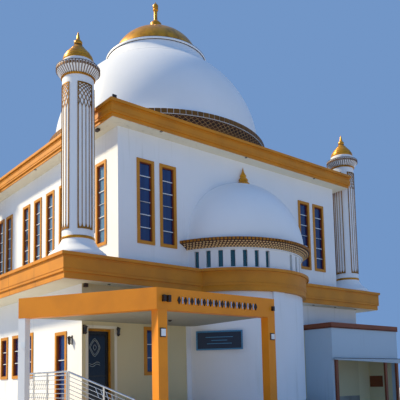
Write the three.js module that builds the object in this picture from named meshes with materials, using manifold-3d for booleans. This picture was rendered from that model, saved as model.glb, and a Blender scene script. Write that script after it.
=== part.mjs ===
// Mosque building: a square domed prayer hall over a wider ground storey, with a curved
// bay under a half dome, four slender minarets, a skewed entrance canopy and a low annex.
// Units are millimetres, +Z is up and the front faces -Y.
// The origin is on the ground under the axis of the main dome.

import * as THREE from 'three';
import Module from 'manifold-3d';
import { mergeVertices } from 'three/addons/utils/BufferGeometryUtils.js';

const wasm = await Module();
wasm.setup();

// Driving dimensions

const GAP = 0.3;

const FLOOR = 950;
const HALL = 5100;
const GROUND_X = 6300;
const GROUND_FRONT_T = 300;
const GROUND_SIDE_T = 180;

const GALLERY_BOTTOM = 4860;
const GALLERY_TOP = 5160;
const GALLERY_VOID = 2500;

const LEDGE_X = 7190;
const LEDGE_Y = 5710;
const LEDGE_BOTTOM = 4444;
const LEDGE_BAND = 4620;
const LEDGE_CAP = 5070;
const LEDGE_TOP = 5160;
const BAY_LEDGE = [127, 147, 247];
const FASCIA_T = 200;
const SOFFIT_T = 60;

const UPPER_T = 200;
const ROOF_UNDER = 9600;
const ROOF_TOP = 9840;
const ROOF_EDGE = 5662;
const ROOF_BOTTOM = 9366;
const ROOF_BAND = 9470;
const ROOF_CAP = 9790;
const ROOF_CORNICE_TOP = 9881;

const WIN_W = 618;
const WIN_Z0 = 5852;
const WIN_Z1 = 8498;
const FRONT_WINDOWS = [-4115, -3260, 3260, 4115];
const SIDE_WINDOWS = [-4115, -3260, -1560, -520, 520, 1560, 3260, 4115];
const LOW_WIN_Z0 = 1860;
const LOW_WIN_Z1 = 3290;
const LOW_FRONT_WINDOW = -3915;
const LOW_SIDE_WINDOWS = [-1560, -520, 520, 1560, 3260];
const SIDE_OPENING = [-4190, -3480];

const DOOR_X0 = -6110;
const DOOR_X1 = -5260;
const DOOR_TOP = 3190;
const DOOR_FRAME = 60;
const DOOR_CLEAR = 6;
const DOOR_T = 40;
const PIN_R = 5;

const BAY_R = 2653;
const BAY_Y = -4182;
const BAY_T = 200;
const BAY_RING_R = 2987;
const DRUM_TOP = 5810;
const BAY_RING_TOP = 6123;
const SLOT_FIRST = 12;
const SLOT_STEP = 8.5;
const SLOT_W = 150;
const SLOT_Z0 = 5230;
const SLOT_Z1 = 5775;
const HALF_DOME = [2490, 1720, 2380];
const HALF_DOME_T = 120;
const ARCH_R = 2200;

const DOME_RING_R = 4537;
const DRUM_R = 4230;
const DOME_R = 4250;
const DOME_H = 4200;
const DOME_Z = 11185;
const DOME_T = 150;
const DOME_EYE = 2580;
const CAP_Z = 15270;
const CAP_R = 1820;
const CAP_H = 1450;

const MINARET_X = 6250;
const MINARET_Y = 4790;
const MINARET_R = 460;

const CANOPY_A = [-6130, -8470];
const CANOPY_B = [-2140, -8490];
const CANOPY_C = [-8090, -5020];
const CANOPY_SOFFIT = 3350;
const CANOPY_TOP = 3880;
const BEAM_W = 250;
const POST_W = 270;

const PORCH_X0 = -7400;
const PORCH_Y0 = -6330;
const STEP_RUN = 360;
const RAIL_TOP = 1930;
const RISERS = 6;

const ANNEX_X0 = 3040;
const ANNEX_X1 = 7190;
const ANNEX_Y = -6360;
const ANNEX_TOP = 3680;

// Colours and finishes

function paint(color, roughness = 0.7, metalness = 0) {
  return new THREE.MeshStandardMaterial({ color, roughness, metalness });
}

const WHITE = paint('#f1f3f4');
const CREAM = paint('#e6ddc6');
const OCHRE = paint('#d9930f', 0.55);
const ORANGE = paint('#f0a30a', 0.5);
const GOLD = paint('#c8920f', 0.4, 0.4);
const LATTICE = paint('#5a3316', 0.6);
const GLASS = paint('#1b3550', 0.08);
const TEAL = paint('#1f6f78', 0.1);
const LEAF = paint('#15171a', 0.25);
const STEEL = paint('#c9ccd0', 0.25, 0.9);
const CONCRETE = paint('#b9b6ae', 0.85);
const BROWN = paint('#6e3a1e', 0.6);
const TILE = paint('#cdbfa6', 0.5);

// Solid helpers

function toSolid(geometry) {
  const bare = geometry.clone();
  bare.deleteAttribute('normal');
  bare.deleteAttribute('uv');
  const merged = mergeVertices(bare, 1e-3);
  const vertProperties = new Float32Array(merged.attributes.position.array);
  const triVerts = new Uint32Array(merged.index.array);
  return new wasm.Manifold(new wasm.Mesh({ numProp: 3, vertProperties, triVerts }));
}

function toGeometry(solid) {
  const mesh = solid.getMesh();
  const geometry = new THREE.BufferGeometry();
  const position = new THREE.BufferAttribute(new Float32Array(mesh.vertProperties), 3);
  geometry.setAttribute('position', position);
  geometry.setIndex(new THREE.BufferAttribute(new Uint32Array(mesh.triVerts), 1));
  geometry.computeVertexNormals();
  return geometry;
}

function boxGeometry(x0, x1, y0, y1, z0, z1) {
  const geometry = new THREE.BoxGeometry(x1 - x0, y1 - y0, z1 - z0);
  geometry.translate((x0 + x1) / 2, (y0 + y1) / 2, (z0 + z1) / 2);
  return geometry;
}

function box(x0, x1, y0, y1, z0, z1) {
  return toSolid(boxGeometry(x0, x1, y0, y1, z0, z1));
}

function prismGeometry(points, z0, z1, holes = []) {
  const shape = new THREE.Shape(points.map(([x, y]) => new THREE.Vector2(x, y)));
  for (const hole of holes) {
    shape.holes.push(new THREE.Path(hole.map(([x, y]) => new THREE.Vector2(x, y))));
  }
  const geometry = new THREE.ExtrudeGeometry(shape, { depth: z1 - z0, bevelEnabled: false });
  geometry.translate(0, 0, z0);
  return geometry;
}

function prism(points, z0, z1, holes = []) {
  return toSolid(prismGeometry(points, z0, z1, holes));
}

function lathe(profile, segments) {
  const points = profile.map(([r, z]) => new THREE.Vector2(r, z));
  const geometry = new THREE.LatheGeometry(points, segments);
  geometry.rotateX(Math.PI / 2);
  return geometry;
}

function union(solids) {
  return solids.reduce((whole, next) => whole.add(next));
}

function arc(cx, cy, r, a0, a1, steps) {
  const points = [];
  for (let i = 0; i <= steps; i += 1) {
    const a = THREE.MathUtils.degToRad(a0 + ((a1 - a0) * i) / steps);
    points.push([cx + r * Math.cos(a), cy + r * Math.sin(a)]);
  }
  return points;
}

const model = new THREE.Group();

function add(name, geometry, material, x = 0, y = 0, z = 0) {
  const mesh = new THREE.Mesh(geometry, material);
  mesh.name = name;
  mesh.position.set(x, y, z);
  model.add(mesh);
  return mesh;
}

// The bay is the part of a round tower that stands in front of a line at the given y.
// Every round of it has its corners at the same angles, so the rounds stay parallel.

function bayDisc(r, y, z0, z1) {
  const round = prism(arc(0, BAY_Y, r, 2.5, 357.5, 71), z0, z1);
  return round.intersect(box(-r - 10, r + 10, BAY_Y - r - 10, y, z0 - 10, z1 + 10));
}

function bayBand(outer, inner, y, z0, z1) {
  return bayDisc(outer, y, z0, z1).subtract(bayDisc(inner, y + 20, z0 - 10, z1 + 10));
}

function halfChord(r) {
  return Math.sqrt(r ** 2 - (BAY_Y + HALL) ** 2);
}

// Ground storey

function groundStorey() {
  const front = -HALL;
  const wallTop = GALLERY_BOTTOM - GAP;
  const base = FLOOR + GAP;
  const bayX = halfChord(BAY_R);
  const slab = box(-GROUND_X, GROUND_X, front, HALL, 0, FLOOR);
  add('plinth', toGeometry(slab.add(bayDisc(BAY_R, front + 10, 0, FLOOR))), CONCRETE);

  const y0 = front;
  const y1 = front + GROUND_FRONT_T;
  add('ground_wall_door_side', boxGeometry(-GROUND_X, DOOR_X0, y0, y1, base, wallTop), CREAM);
  const lintel = boxGeometry(DOOR_X0 + GAP, DOOR_X1 - GAP, y0, y1, DOOR_TOP, wallTop);
  add('ground_wall_over_door', lintel, CREAM);
  const windowCut = box(
    LOW_FRONT_WINDOW - WIN_W / 2,
    LOW_FRONT_WINDOW + WIN_W / 2,
    y0 - 50,
    y1 + 50,
    LOW_WIN_Z0,
    LOW_WIN_Z1,
  );
  const frontLeft = box(DOOR_X1, -bayX - GAP, y0, y1, base, wallTop).subtract(windowCut);
  add('ground_wall_front_left', toGeometry(frontLeft), CREAM);
  add('ground_wall_front_right', boxGeometry(bayX + GAP, GROUND_X, y0, y1, base, wallTop), CREAM);
  const pane = boxGeometry(
    LOW_FRONT_WINDOW - WIN_W / 2 + GAP,
    LOW_FRONT_WINDOW + WIN_W / 2 - GAP,
    y0 + 100,
    y0 + 115,
    LOW_WIN_Z0 + GAP,
    LOW_WIN_Z1 - GAP,
  );
  add('ground_glass_front', pane, GLASS);

  const pier = box(-450, 50, BAY_Y - BAY_R - 60, BAY_Y - BAY_R + 100, base, LEDGE_BOTTOM - GAP);
  const round = bayBand(BAY_R, BAY_R - BAY_T, front, base, wallTop);
  add('bay_wall', toGeometry(round.add(pier)), WHITE);

  const sideY0 = y1 + GAP;
  const sideY1 = HALL - UPPER_T - GAP;
  for (const [name, side] of [['left', -1], ['right', 1]]) {
    const outer = side * GROUND_X;
    const inner = side * (GROUND_X - GROUND_SIDE_T);
    const xa = Math.min(outer, inner);
    const xb = Math.max(outer, inner);
    let wall = box(xa, xb, sideY0, sideY1, base, wallTop);
    for (const y of LOW_SIDE_WINDOWS) {
      const cut = box(xa - 50, xb + 50, y - WIN_W / 2, y + WIN_W / 2, LOW_WIN_Z0, LOW_WIN_Z1);
      wall = wall.subtract(cut);
    }
    const tall = box(xa - 50, xb + 50, SIDE_OPENING[0], SIDE_OPENING[1], FLOOR + 120, 3150);
    wall = wall.subtract(tall);
    add(`ground_wall_${name}`, toGeometry(wall), WHITE);
  }

  let back = box(-GROUND_X, GROUND_X, HALL - UPPER_T, HALL, base, wallTop);
  for (const x of SIDE_WINDOWS) {
    const cut = box(x - WIN_W / 2, x + WIN_W / 2, HALL - 300, HALL + 50, LOW_WIN_Z0, LOW_WIN_Z1);
    back = back.subtract(cut);
  }
  add('ground_wall_back', toGeometry(back), WHITE);
  groundGlass();
}

// One sheet of glass runs behind the left, back and right walls of the ground storey

function groundGlass() {
  const x = GROUND_X - GROUND_SIDE_T - GAP;
  const y = HALL - UPPER_T - GAP;
  const t = 15;
  const sheet = [
    [-x, -4300],
    [-x, y],
    [x, y],
    [x, -4300],
    [x - t, -4300],
    [x - t, y - t],
    [-x + t, y - t],
    [-x + t, -4300],
  ];
  add('ground_glass_sides', prismGeometry(sheet.reverse(), FLOOR + 100, 3320), GLASS);
}

// A pivot pin on the door's turning axis, at the inner corner of the leaf's hinge edge

function pivotPin(x, y, z0, z1) {
  const pin = new THREE.CylinderGeometry(PIN_R, PIN_R, z1 - z0, 12);
  pin.rotateX(Math.PI / 2);
  pin.translate(x, y, (z0 + z1) / 2);
  return toSolid(pin);
}

// Entrance door with its frame, set deep in the front wall

function entrance() {
  const y1 = -HALL + GROUND_FRONT_T;
  const y0 = y1 - 90;
  const x0 = DOOR_X0 + GAP;
  const x1 = DOOR_X1 - GAP;
  const top = DOOR_TOP - GAP;
  const base = FLOOR + GAP;
  const jambLeft = box(x0, x0 + DOOR_FRAME, y0, y1, base, top);
  const jambRight = box(x1 - DOOR_FRAME, x1, y0, y1, base, top);
  const head = box(x0, x1, y0, y1, top - DOOR_FRAME, top);
  const leafX0 = x0 + DOOR_FRAME + DOOR_CLEAR;
  const leafX1 = x1 - DOOR_FRAME - DOOR_CLEAR;
  const leafTop = top - DOOR_FRAME - DOOR_CLEAR;
  const hingeY = y1 - PIN_R;
  const topPin = pivotPin(leafX1, hingeY, leafTop + GAP, top - DOOR_FRAME + 2);
  add('door_frame', toGeometry(union([jambLeft, jambRight, head, topPin])), GOLD);
  const leaf = box(leafX0, leafX1, hingeY - DOOR_T, hingeY, base + DOOR_CLEAR, leafTop);
  const footPin = pivotPin(leafX1, hingeY, base + GAP, base + DOOR_CLEAR + 2);
  add('entrance_door', toGeometry(union([leaf, footPin])), LEAF);
}

// Gallery floor and the stepped cornice that wraps its ledge

function gallery() {
  const x = LEDGE_X - FASCIA_T - GAP - 60;
  const y = LEDGE_Y - FASCIA_T - GAP - 60;
  const v = GALLERY_VOID;
  const z0 = GALLERY_BOTTOM;
  const z1 = GALLERY_TOP;
  const bay = bayDisc(BAY_R + BAY_LEDGE[2] + GAP, -HALL + 5, z0 - 10, z1 + 10);
  const strip = box(-x, x, -y, -HALL + 5, z0, z1).subtract(bay);
  const hall = box(-x, x, -HALL + 5, y, z0, z1);
  const floor = union([hall, strip, bayDisc(BAY_R, -HALL + 5, z0, z1)]);
  const eye = box(-v, v, -v, v, z0 - 10, z1 + 10);
  add('gallery_floor', toGeometry(floor.subtract(eye)), CONCRETE);
}

// The cornice section, as distance out from the fascia's back and height

function fasciaSection(out, bottom, band, cap, top) {
  return [
    [0, bottom],
    [out - 90, bottom],
    [out - 90, band],
    [out - 50, band],
    [out - 50, cap],
    [out, cap],
    [out, top],
    [out - FASCIA_T - 50, top],
    [out - FASCIA_T - 50, bottom + SOFFIT_T],
    [0, bottom + SOFFIT_T],
  ];
}

// Runs a section from p to q, with its outward direction to the right of the run. Each end
// is mitred at 45 degrees from the given distance outwards, and is square inside of that.

function corniceRun(section, out, p, q, startKink, endKink) {
  const over = out + 20;
  const length = Math.hypot(q[0] - p[0], q[1] - p[1]);
  const shape = new THREE.Shape(section.map(([u, v]) => new THREE.Vector2(u, v)));
  const depth = length + 2 * over;
  const bar = new THREE.ExtrudeGeometry(shape, { depth, bevelEnabled: false });
  bar.rotateX(Math.PI / 2);
  bar.translate(0, over, 0);
  const reach = (kink) => Math.max(0, over - kink);
  const plan = [
    [-10, 0],
    [Math.min(endKink, over), 0],
    [over, reach(endKink)],
    [over, -length - reach(startKink)],
    [Math.min(startKink, over), -length],
    [-10, -length],
  ];
  const trimmed = toSolid(bar).intersect(prism(plan.reverse(), 0, 12000));
  const geometry = toGeometry(trimmed);
  geometry.rotateZ(Math.atan2(p[1] - q[1], p[0] - q[0]) + Math.PI / 2);
  geometry.translate(q[0], q[1], 0);
  return geometry;
}

function ledgeCornice() {
  const side = LEDGE_X - GROUND_X - GAP;
  const front = LEDGE_Y - HALL - GAP;
  const kink = side - front;
  const square = 100000;
  const sideSection = ledgeSection(side);
  const frontSection = ledgeSection(front);
  const gx = GROUND_X + GAP;
  const gy = HALL + GAP;
  const c = 2 * GAP;
  const endX = 2300;
  const runs = [
    ['left', sideSection, side, [-gx, gy - c], [-gx, -gy + c], kink, kink],
    ['right', sideSection, side, [gx, -gy + c], [gx, gy - c], kink, kink],
    ['back', frontSection, front, [gx + kink, gy], [-gx - kink, gy], 0, 0],
    ['front_left', frontSection, front, [-gx - kink, -gy], [-endX, -gy], 0, square],
    ['front_right', frontSection, front, [endX, -gy], [gx + kink, -gy], square, 0],
  ];
  for (const [name, section, out, p, q, startKink, endKink] of runs) {
    const run = corniceRun(section, out, p, q, startKink, endKink);
    const trimmed = name.startsWith('front') ? toGeometry(toSolid(run).subtract(bayRounds(GAP))) : run;
    add(`ledge_cornice_${name}`, trimmed, OCHRE);
  }
}

function ledgeSection(out) {
  return fasciaSection(out, LEDGE_BOTTOM, LEDGE_BAND, LEDGE_CAP, LEDGE_TOP);
}

// The rounds that the bay's cornice is stepped from, grown by a running gap

function bayRounds(grow) {
  const heights = [LEDGE_BOTTOM, LEDGE_BAND, LEDGE_CAP, LEDGE_TOP];
  const rounds = BAY_LEDGE.map((out, i) => {
    const z0 = heights[i] - (i === 0 ? grow : 0);
    return bayDisc(BAY_R + out + grow, -HALL - GAP + grow * 40, z0, heights[i + 1] + grow);
  });
  return union(rounds);
}

function bayCornice() {
  const core = bayDisc(BAY_R + GAP, -HALL + 200, LEDGE_BOTTOM - 50, LEDGE_TOP + 50);
  add('ledge_cornice_bay', toGeometry(bayRounds(0).subtract(core)), OCHRE);
}

// Upper storey walls

function windowCuts(wall, places, along, at, depth, z0, z1) {
  let result = wall;
  for (const p of places) {
    const a = p - WIN_W / 2;
    const b = p + WIN_W / 2;
    const cut = along === 'x' ? box(a, b, at, at + depth, z0, z1) : box(at, at + depth, a, b, z0, z1);
    result = result.subtract(cut);
  }
  return result;
}

function upperStorey() {
  const base = GALLERY_TOP + GAP;
  const top = ROOF_UNDER - GAP;
  const h = HALL;
  const t = UPPER_T;
  let front = box(-h, h, -h, -h + t, base, top);
  front = windowCuts(front, FRONT_WINDOWS, 'x', -h - 50, t + 100, WIN_Z0, WIN_Z1);
  const arch = [
    [-ARCH_R, base - 10],
    [ARCH_R, base - 10],
    ...arc(0, BAY_RING_TOP, ARCH_R, 0, 180, 24),
  ];
  const archGeometry = prismGeometry(arch, -50, t + 50);
  archGeometry.rotateX(Math.PI / 2);
  archGeometry.translate(0, -h + t, 0);
  front = front.subtract(toSolid(archGeometry));
  add('upper_wall_front', toGeometry(front), WHITE);
  let back = box(-h, h, h - t, h, base, top);
  back = windowCuts(back, SIDE_WINDOWS, 'x', h - t - 50, t + 100, WIN_Z0, WIN_Z1);
  add('upper_wall_back', toGeometry(back), WHITE);
  for (const [name, x] of [['left', -h], ['right', h - t]]) {
    let wall = box(x, x + t, -h + t + GAP, h - t - GAP, base, top);
    wall = windowCuts(wall, SIDE_WINDOWS, 'y', x - 50, t + 100, WIN_Z0, WIN_Z1);
    add(`upper_wall_${name}`, toGeometry(wall), WHITE);
  }
  const o = h - t - GAP;
  const i = o - 15;
  const e = 2450;
  const sheet = [
    [-e, -o],
    [-e, -i],
    [-i, -i],
    [-i, i],
    [i, i],
    [i, -i],
    [e, -i],
    [e, -o],
    [o, -o],
    [o, o],
    [-o, o],
    [-o, -o],
  ];
  add('upper_glass', prismGeometry(sheet, WIN_Z0 - 60, WIN_Z1 + 60), GLASS);
}

// Roof slab with the round opening under the dome, and the roof cornice

function roof() {
  const o = ROOF_EDGE - 50 - FASCIA_T - GAP;
  const hole = arc(0, 0, DRUM_R - 230, 0, 352.5, 47);
  const outline = [[-o, -o], [o, -o], [o, o], [-o, o]];
  add('roof_slab', prismGeometry(outline, ROOF_UNDER, ROOF_TOP, [hole]), CONCRETE);
  const out = ROOF_EDGE - HALL - GAP;
  const section = fasciaSection(out, ROOF_BOTTOM, ROOF_BAND, ROOF_CAP, ROOF_CORNICE_TOP);
  const g = HALL + GAP;
  const c = 2 * GAP;
  const runs = [
    ['left', [-g, g - c], [-g, -g + c]],
    ['front', [-g, -g], [g, -g]],
    ['right', [g, -g + c], [g, g - c]],
    ['back', [g, g], [-g, g]],
  ];
  for (const [name, p, q] of runs) {
    add(`roof_cornice_${name}`, corniceRun(section, out, p, q, 0, 0), OCHRE);
  }
}

// Main dome on its flared ring

function ellipseProfile(r, h, z, from, to, steps) {
  const points = [];
  for (let i = 0; i <= steps; i += 1) {
    const a = from + ((to - from) * i) / steps;
    points.push([r * Math.cos(a), z + h * Math.sin(a)]);
  }
  return points;
}

function mainDome() {
  const base = ROOF_TOP + GAP;
  const ring = [
    [DRUM_R - 230, base],
    [DRUM_R, base],
    [DRUM_R, 10420],
    [DRUM_R + 90, 10700],
    [DOME_RING_R - 60, 10980],
    [DOME_RING_R, 11020],
    [DOME_RING_R, DOME_Z],
    [DOME_R - DOME_T - 40, DOME_Z],
    [DOME_R - DOME_T - 40, 10700],
    [DRUM_R - 230, 10700],
    [DRUM_R - 230, base],
  ];
  add('dome_ring', lathe(ring, 48), LATTICE);
  const eyeOut = Math.acos(DOME_EYE / DOME_R);
  const eyeIn = Math.acos(DOME_EYE / (DOME_R - DOME_T));
  const outer = ellipseProfile(DOME_R, DOME_H, DOME_Z + GAP, 0, eyeOut, 9);
  const inner = ellipseProfile(DOME_R - DOME_T, DOME_H - DOME_T, DOME_Z + GAP, eyeIn, 0, 6);
  const shell = [...outer, ...inner, outer[0]];
  add('dome_shell', lathe(shell, 48), WHITE);
  const z = DOME_Z + DOME_H * Math.sin(eyeOut) + 2 * GAP;
  const collar = [
    [DOME_EYE - 150, z],
    [DOME_EYE, z],
    [2420, z + 138],
    [2260, z + 328],
    [2150, z + 528],
    [2110, CAP_Z - 100],
    [2160, CAP_Z - 80],
    [2160, CAP_Z],
    [1760, CAP_Z],
    [1760, CAP_Z - 90],
    [1950, z + 480],
    [2090, z + 270],
    [DOME_EYE - 150, z + 60],
    [DOME_EYE - 150, z],
  ];
  add('dome_collar', lathe(collar, 40), WHITE);
  const rim = CAP_Z + GAP;
  const neck = Math.acos(260 / CAP_R);
  const capOut = ellipseProfile(CAP_R, CAP_H, rim, 0, neck, 6);
  const capIn = ellipseProfile(CAP_R - 110, CAP_H - 110, rim, Math.PI / 2, 0, 5);
  const f = rim + CAP_H * Math.sin(neck);
  const finial = [
    [260, f + 30],
    [250, f + 400],
    [170, f + 480],
    [95, f + 580],
    [75, f + 760],
    [80, f + 1000],
    [120, f + 1070],
    [95, f + 1130],
    [125, f + 1190],
    [115, f + 1265],
    [50, f + 1340],
    [0, f + 1447],
  ];
  add('dome_cap', lathe([...capIn, ...capOut, ...finial], 36), GOLD);
}

// Bay above the ledge: slotted drum, flared ring, half dome and finial

function bayTop() {
  const base = GALLERY_TOP + GAP;
  let drum = bayBand(BAY_R, BAY_R - 180, -HALL - GAP, base, DRUM_TOP);
  for (const side of [-1, 1]) {
    for (let k = 0; k < 7; k += 1) {
      const slot = boxGeometry(-SLOT_W / 2, SLOT_W / 2, -BAY_R - 60, -BAY_R + 260, SLOT_Z0, SLOT_Z1);
      slot.rotateZ(THREE.MathUtils.degToRad(side * (SLOT_FIRST + SLOT_STEP * k)));
      slot.translate(0, BAY_Y, 0);
      drum = drum.subtract(toSolid(slot));
    }
  }
  add('bay_drum', toGeometry(drum), WHITE);
  const glass = bayBand(BAY_R - 180 - GAP, BAY_R - 195, -HALL - GAP, base, DRUM_TOP);
  add('bay_glass', toGeometry(glass), TEAL);
  const z0 = DRUM_TOP + GAP;
  const layers = [
    [BAY_R + 60, z0, z0 + 90],
    [BAY_R + 170, z0 + 90, z0 + 210],
    [BAY_RING_R, z0 + 210, BAY_RING_TOP],
  ];
  const rounds = union(layers.map(([r, a, b]) => bayDisc(r, -HALL - GAP, a, b)));
  const ring = rounds.subtract(bayDisc(BAY_R - 260, -HALL + 200, z0 - 50, BAY_RING_TOP + 50));
  add('bay_ring', toGeometry(ring), LATTICE);
  add('bay_half_dome', toGeometry(halfDome()), WHITE);
  const f = BAY_RING_TOP + HALF_DOME[2] - 40 + 2 * GAP;
  const finial = [
    [0, f],
    [215, f],
    [225, f + 80],
    [160, f + 160],
    [170, f + 220],
    [105, f + 310],
    [115, f + 370],
    [50, f + 480],
    [28, f + 570],
    [0, f + 690],
  ];
  const turned = lathe(finial, 16);
  turned.translate(0, -HALL - 70, 0);
  const front = box(-400, 400, -HALL - 500, -HALL - GAP, f - 10, f + 800);
  add('bay_finial', toGeometry(toSolid(turned).intersect(front)), GOLD);
}

function halfDome() {
  const [a, b, c] = HALF_DOME;
  const t = HALF_DOME_T;
  const z = BAY_RING_TOP + GAP;
  const outer = new THREE.SphereGeometry(1, 32, 20);
  outer.rotateX(Math.PI / 2);
  outer.scale(a, b, c);
  outer.translate(0, -HALL, z);
  const inner = new THREE.SphereGeometry(1, 24, 12);
  inner.rotateX(Math.PI / 2);
  inner.scale(a - t, b - t, c - t);
  inner.translate(0, -HALL, z);
  const keep = box(-a - 10, a + 10, -HALL - b - 10, -HALL - GAP, z, z + c + 10);
  const seat = box(-300, 300, -HALL - 480, -HALL + 10, z + c - 40 - GAP, z + c + 10);
  return toSolid(outer).subtract(toSolid(inner)).intersect(keep).subtract(seat);
}

// Minarets on the ledge

function minarets() {
  const z = GALLERY_TOP + GAP;
  const shaft = [
    [0, z],
    [840, z],
    [842, z + 80],
    [800, z + 140],
    [710, z + 215],
    [625, z + 285],
    [565, z + 350],
    [520, z + 430],
    [475, z + 530],
    [MINARET_R, z + 600],
    [MINARET_R, 10490],
    [485, 10500],
    [485, 10575],
    [560, 10670],
    [610, 10740],
    [645, 10850],
    [645, 10895],
    [475, 10930],
    [475, 11050],
    [0, 11050],
  ];
  const s = 11050 + GAP;
  const spire = [
    [0, s],
    [450, s],
    [455, s + 80],
    [425, s + 190],
    [360, s + 310],
    [285, s + 400],
    [215, s + 480],
    [137, s + 580],
    [158, s + 640],
    [137, s + 690],
    [70, s + 750],
    [55, s + 790],
    [38, s + 900],
    [0, s + 1010],
  ];
  const places = [
    ['front_left', -1, -1],
    ['front_right', 1, -1],
    ['back_left', -1, 1],
    ['back_right', 1, 1],
  ];
  for (const [name, sx, sy] of places) {
    const x = sx * MINARET_X;
    const y = sy * MINARET_Y;
    add(`minaret_${name}`, lathe(shaft, 24), WHITE, x, y, 0);
    add(`minaret_spire_${name}`, lathe(spire, 16), GOLD, x, y, 0);
  }
}

// Entrance canopy, skewed in plan

function unit(p, q) {
  const l = Math.hypot(q[0] - p[0], q[1] - p[1]);
  return [(q[0] - p[0]) / l, (q[1] - p[1]) / l];
}

function along(p, u, a, n, b) {
  return [p[0] + u[0] * a + n[0] * b, p[1] + u[1] * a + n[1] * b];
}

function canopy() {
  const u1 = unit(CANOPY_A, CANOPY_B);
  const n1 = [-u1[1], u1[0]];
  const u2 = unit(CANOPY_A, CANOPY_C);
  const n2 = [u2[1], -u2[0]];
  const det = u1[0] * u2[1] - u1[1] * u2[0];
  const k = BEAM_W;
  const s = k / det;
  const inner = along(CANOPY_A, u1, s, u2, s);
  const frontBeam = [
    along(CANOPY_A, u1, 1, n1, 0),
    CANOPY_B,
    along(CANOPY_B, u1, 0, n1, k),
    along(inner, u1, 1, n1, 0),
  ];
  const housings = [150, 290].map((at) => {
    const near = along(CANOPY_A, u1, at, n1, 20);
    const far = along(CANOPY_A, u1, at + 80, n1, -90);
    const outline = [[near[0], far[1]], far, [far[0], near[1]], near];
    return prism(outline, CANOPY_SOFFIT + 190, CANOPY_SOFFIT + 350);
  });
  const beam = prism(frontBeam, CANOPY_SOFFIT, CANOPY_TOP);
  add('canopy_beam_front', toGeometry(union([beam, ...housings])), ORANGE);
  const leftBeam = [
    CANOPY_A,
    inner,
    along(CANOPY_C, u2, 0, n2, k),
    CANOPY_C,
  ];
  add('canopy_beam_left', prismGeometry(leftBeam, CANOPY_SOFFIT, CANOPY_TOP), ORANGE);
  const g = 2 * GAP;
  const wall = -HALL - g;
  const slabCorner = along(CANOPY_A, u1, (k + g) / det, u2, (k + g) / det);
  const edgeX = -2390;
  const slab = [
    slabCorner,
    [edgeX, slabCorner[1] + ((edgeX - slabCorner[0]) * u1[1]) / u1[0]],
    [-2396, -5345],
    [-2497, wall],
    [-GROUND_X - 400, wall],
    along(CANOPY_C, u2, -30, n2, k + g),
  ];
  add('canopy_slab', prismGeometry(slab, CANOPY_SOFFIT + 30, CANOPY_SOFFIT + 150), CREAM);
  const top = CANOPY_SOFFIT - GAP;
  const square = (p, u, n, w) => [
    p,
    along(p, u, w, n, 0),
    along(p, u, w, n, w),
    along(p, u, 0, n, w),
  ];
  const cornerFoot = along(CANOPY_A, u1, 30, n1, 0);
  add('canopy_post_corner', prismGeometry(square(cornerFoot, u1, n1, POST_W), 0, top), ORANGE);
  const rightFoot = along(CANOPY_B, u1, -POST_W, n1, 0);
  add('canopy_post_right', prismGeometry(square(rightFoot, u1, n1, POST_W), 0, top), ORANGE);
  const leftFoot = along(CANOPY_C, u2, -210, n2, 0);
  const leftPost = [
    leftFoot,
    along(leftFoot, n2, 210, u2, 0),
    along(leftFoot, n2, 210, u2, 210),
    along(leftFoot, n2, 0, u2, 210),
  ];
  add('canopy_post_left', prismGeometry(leftPost, 0, top), WHITE);
}

// Raised porch, its steps and the railing

function porch() {
  const front = -HALL - GAP;
  const platform = [
    [PORCH_X0, -2900],
    [PORCH_X0, PORCH_Y0],
    [-2560, PORCH_Y0],
    [-2560, front],
    [-GROUND_X - GAP, front],
    [-GROUND_X - GAP, -2900],
  ];
  add('porch_platform', prismGeometry(platform, 0, FLOOR), TILE);
  const rise = FLOOR / RISERS;
  const slope = (CANOPY_C[0] - CANOPY_A[0]) / (CANOPY_C[1] - CANOPY_A[1]);
  const edge = (y) => CANOPY_A[0] + slope * (y - CANOPY_A[1]) - 55;
  const steps = [];
  for (let i = 1; i < RISERS; i += 1) {
    const y0 = PORCH_Y0 - GAP - STEP_RUN * i;
    const y1 = PORCH_Y0 - GAP;
    const tread = [[edge(y0), y0], [-4600, y0], [-4600, y1], [edge(y1), y1]];
    steps.push(prism(tread, 0, FLOOR - rise * i));
  }
  add('entrance_steps', toGeometry(union(steps)), TILE);
}

// Steel railing along the open side of the porch and down the left edge of the steps

function rod(p, q, r, sides = 8) {
  const a = new THREE.Vector3(...p);
  const b = new THREE.Vector3(...q);
  const geometry = new THREE.CylinderGeometry(r, r, a.distanceTo(b), sides);
  const up = new THREE.Vector3(0, 1, 0);
  const turn = new THREE.Quaternion().setFromUnitVectors(up, b.clone().sub(a).normalize());
  geometry.applyQuaternion(turn);
  geometry.translate((a.x + b.x) / 2, (a.y + b.y) / 2, (a.z + b.z) / 2);
  return toSolid(geometry);
}

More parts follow.
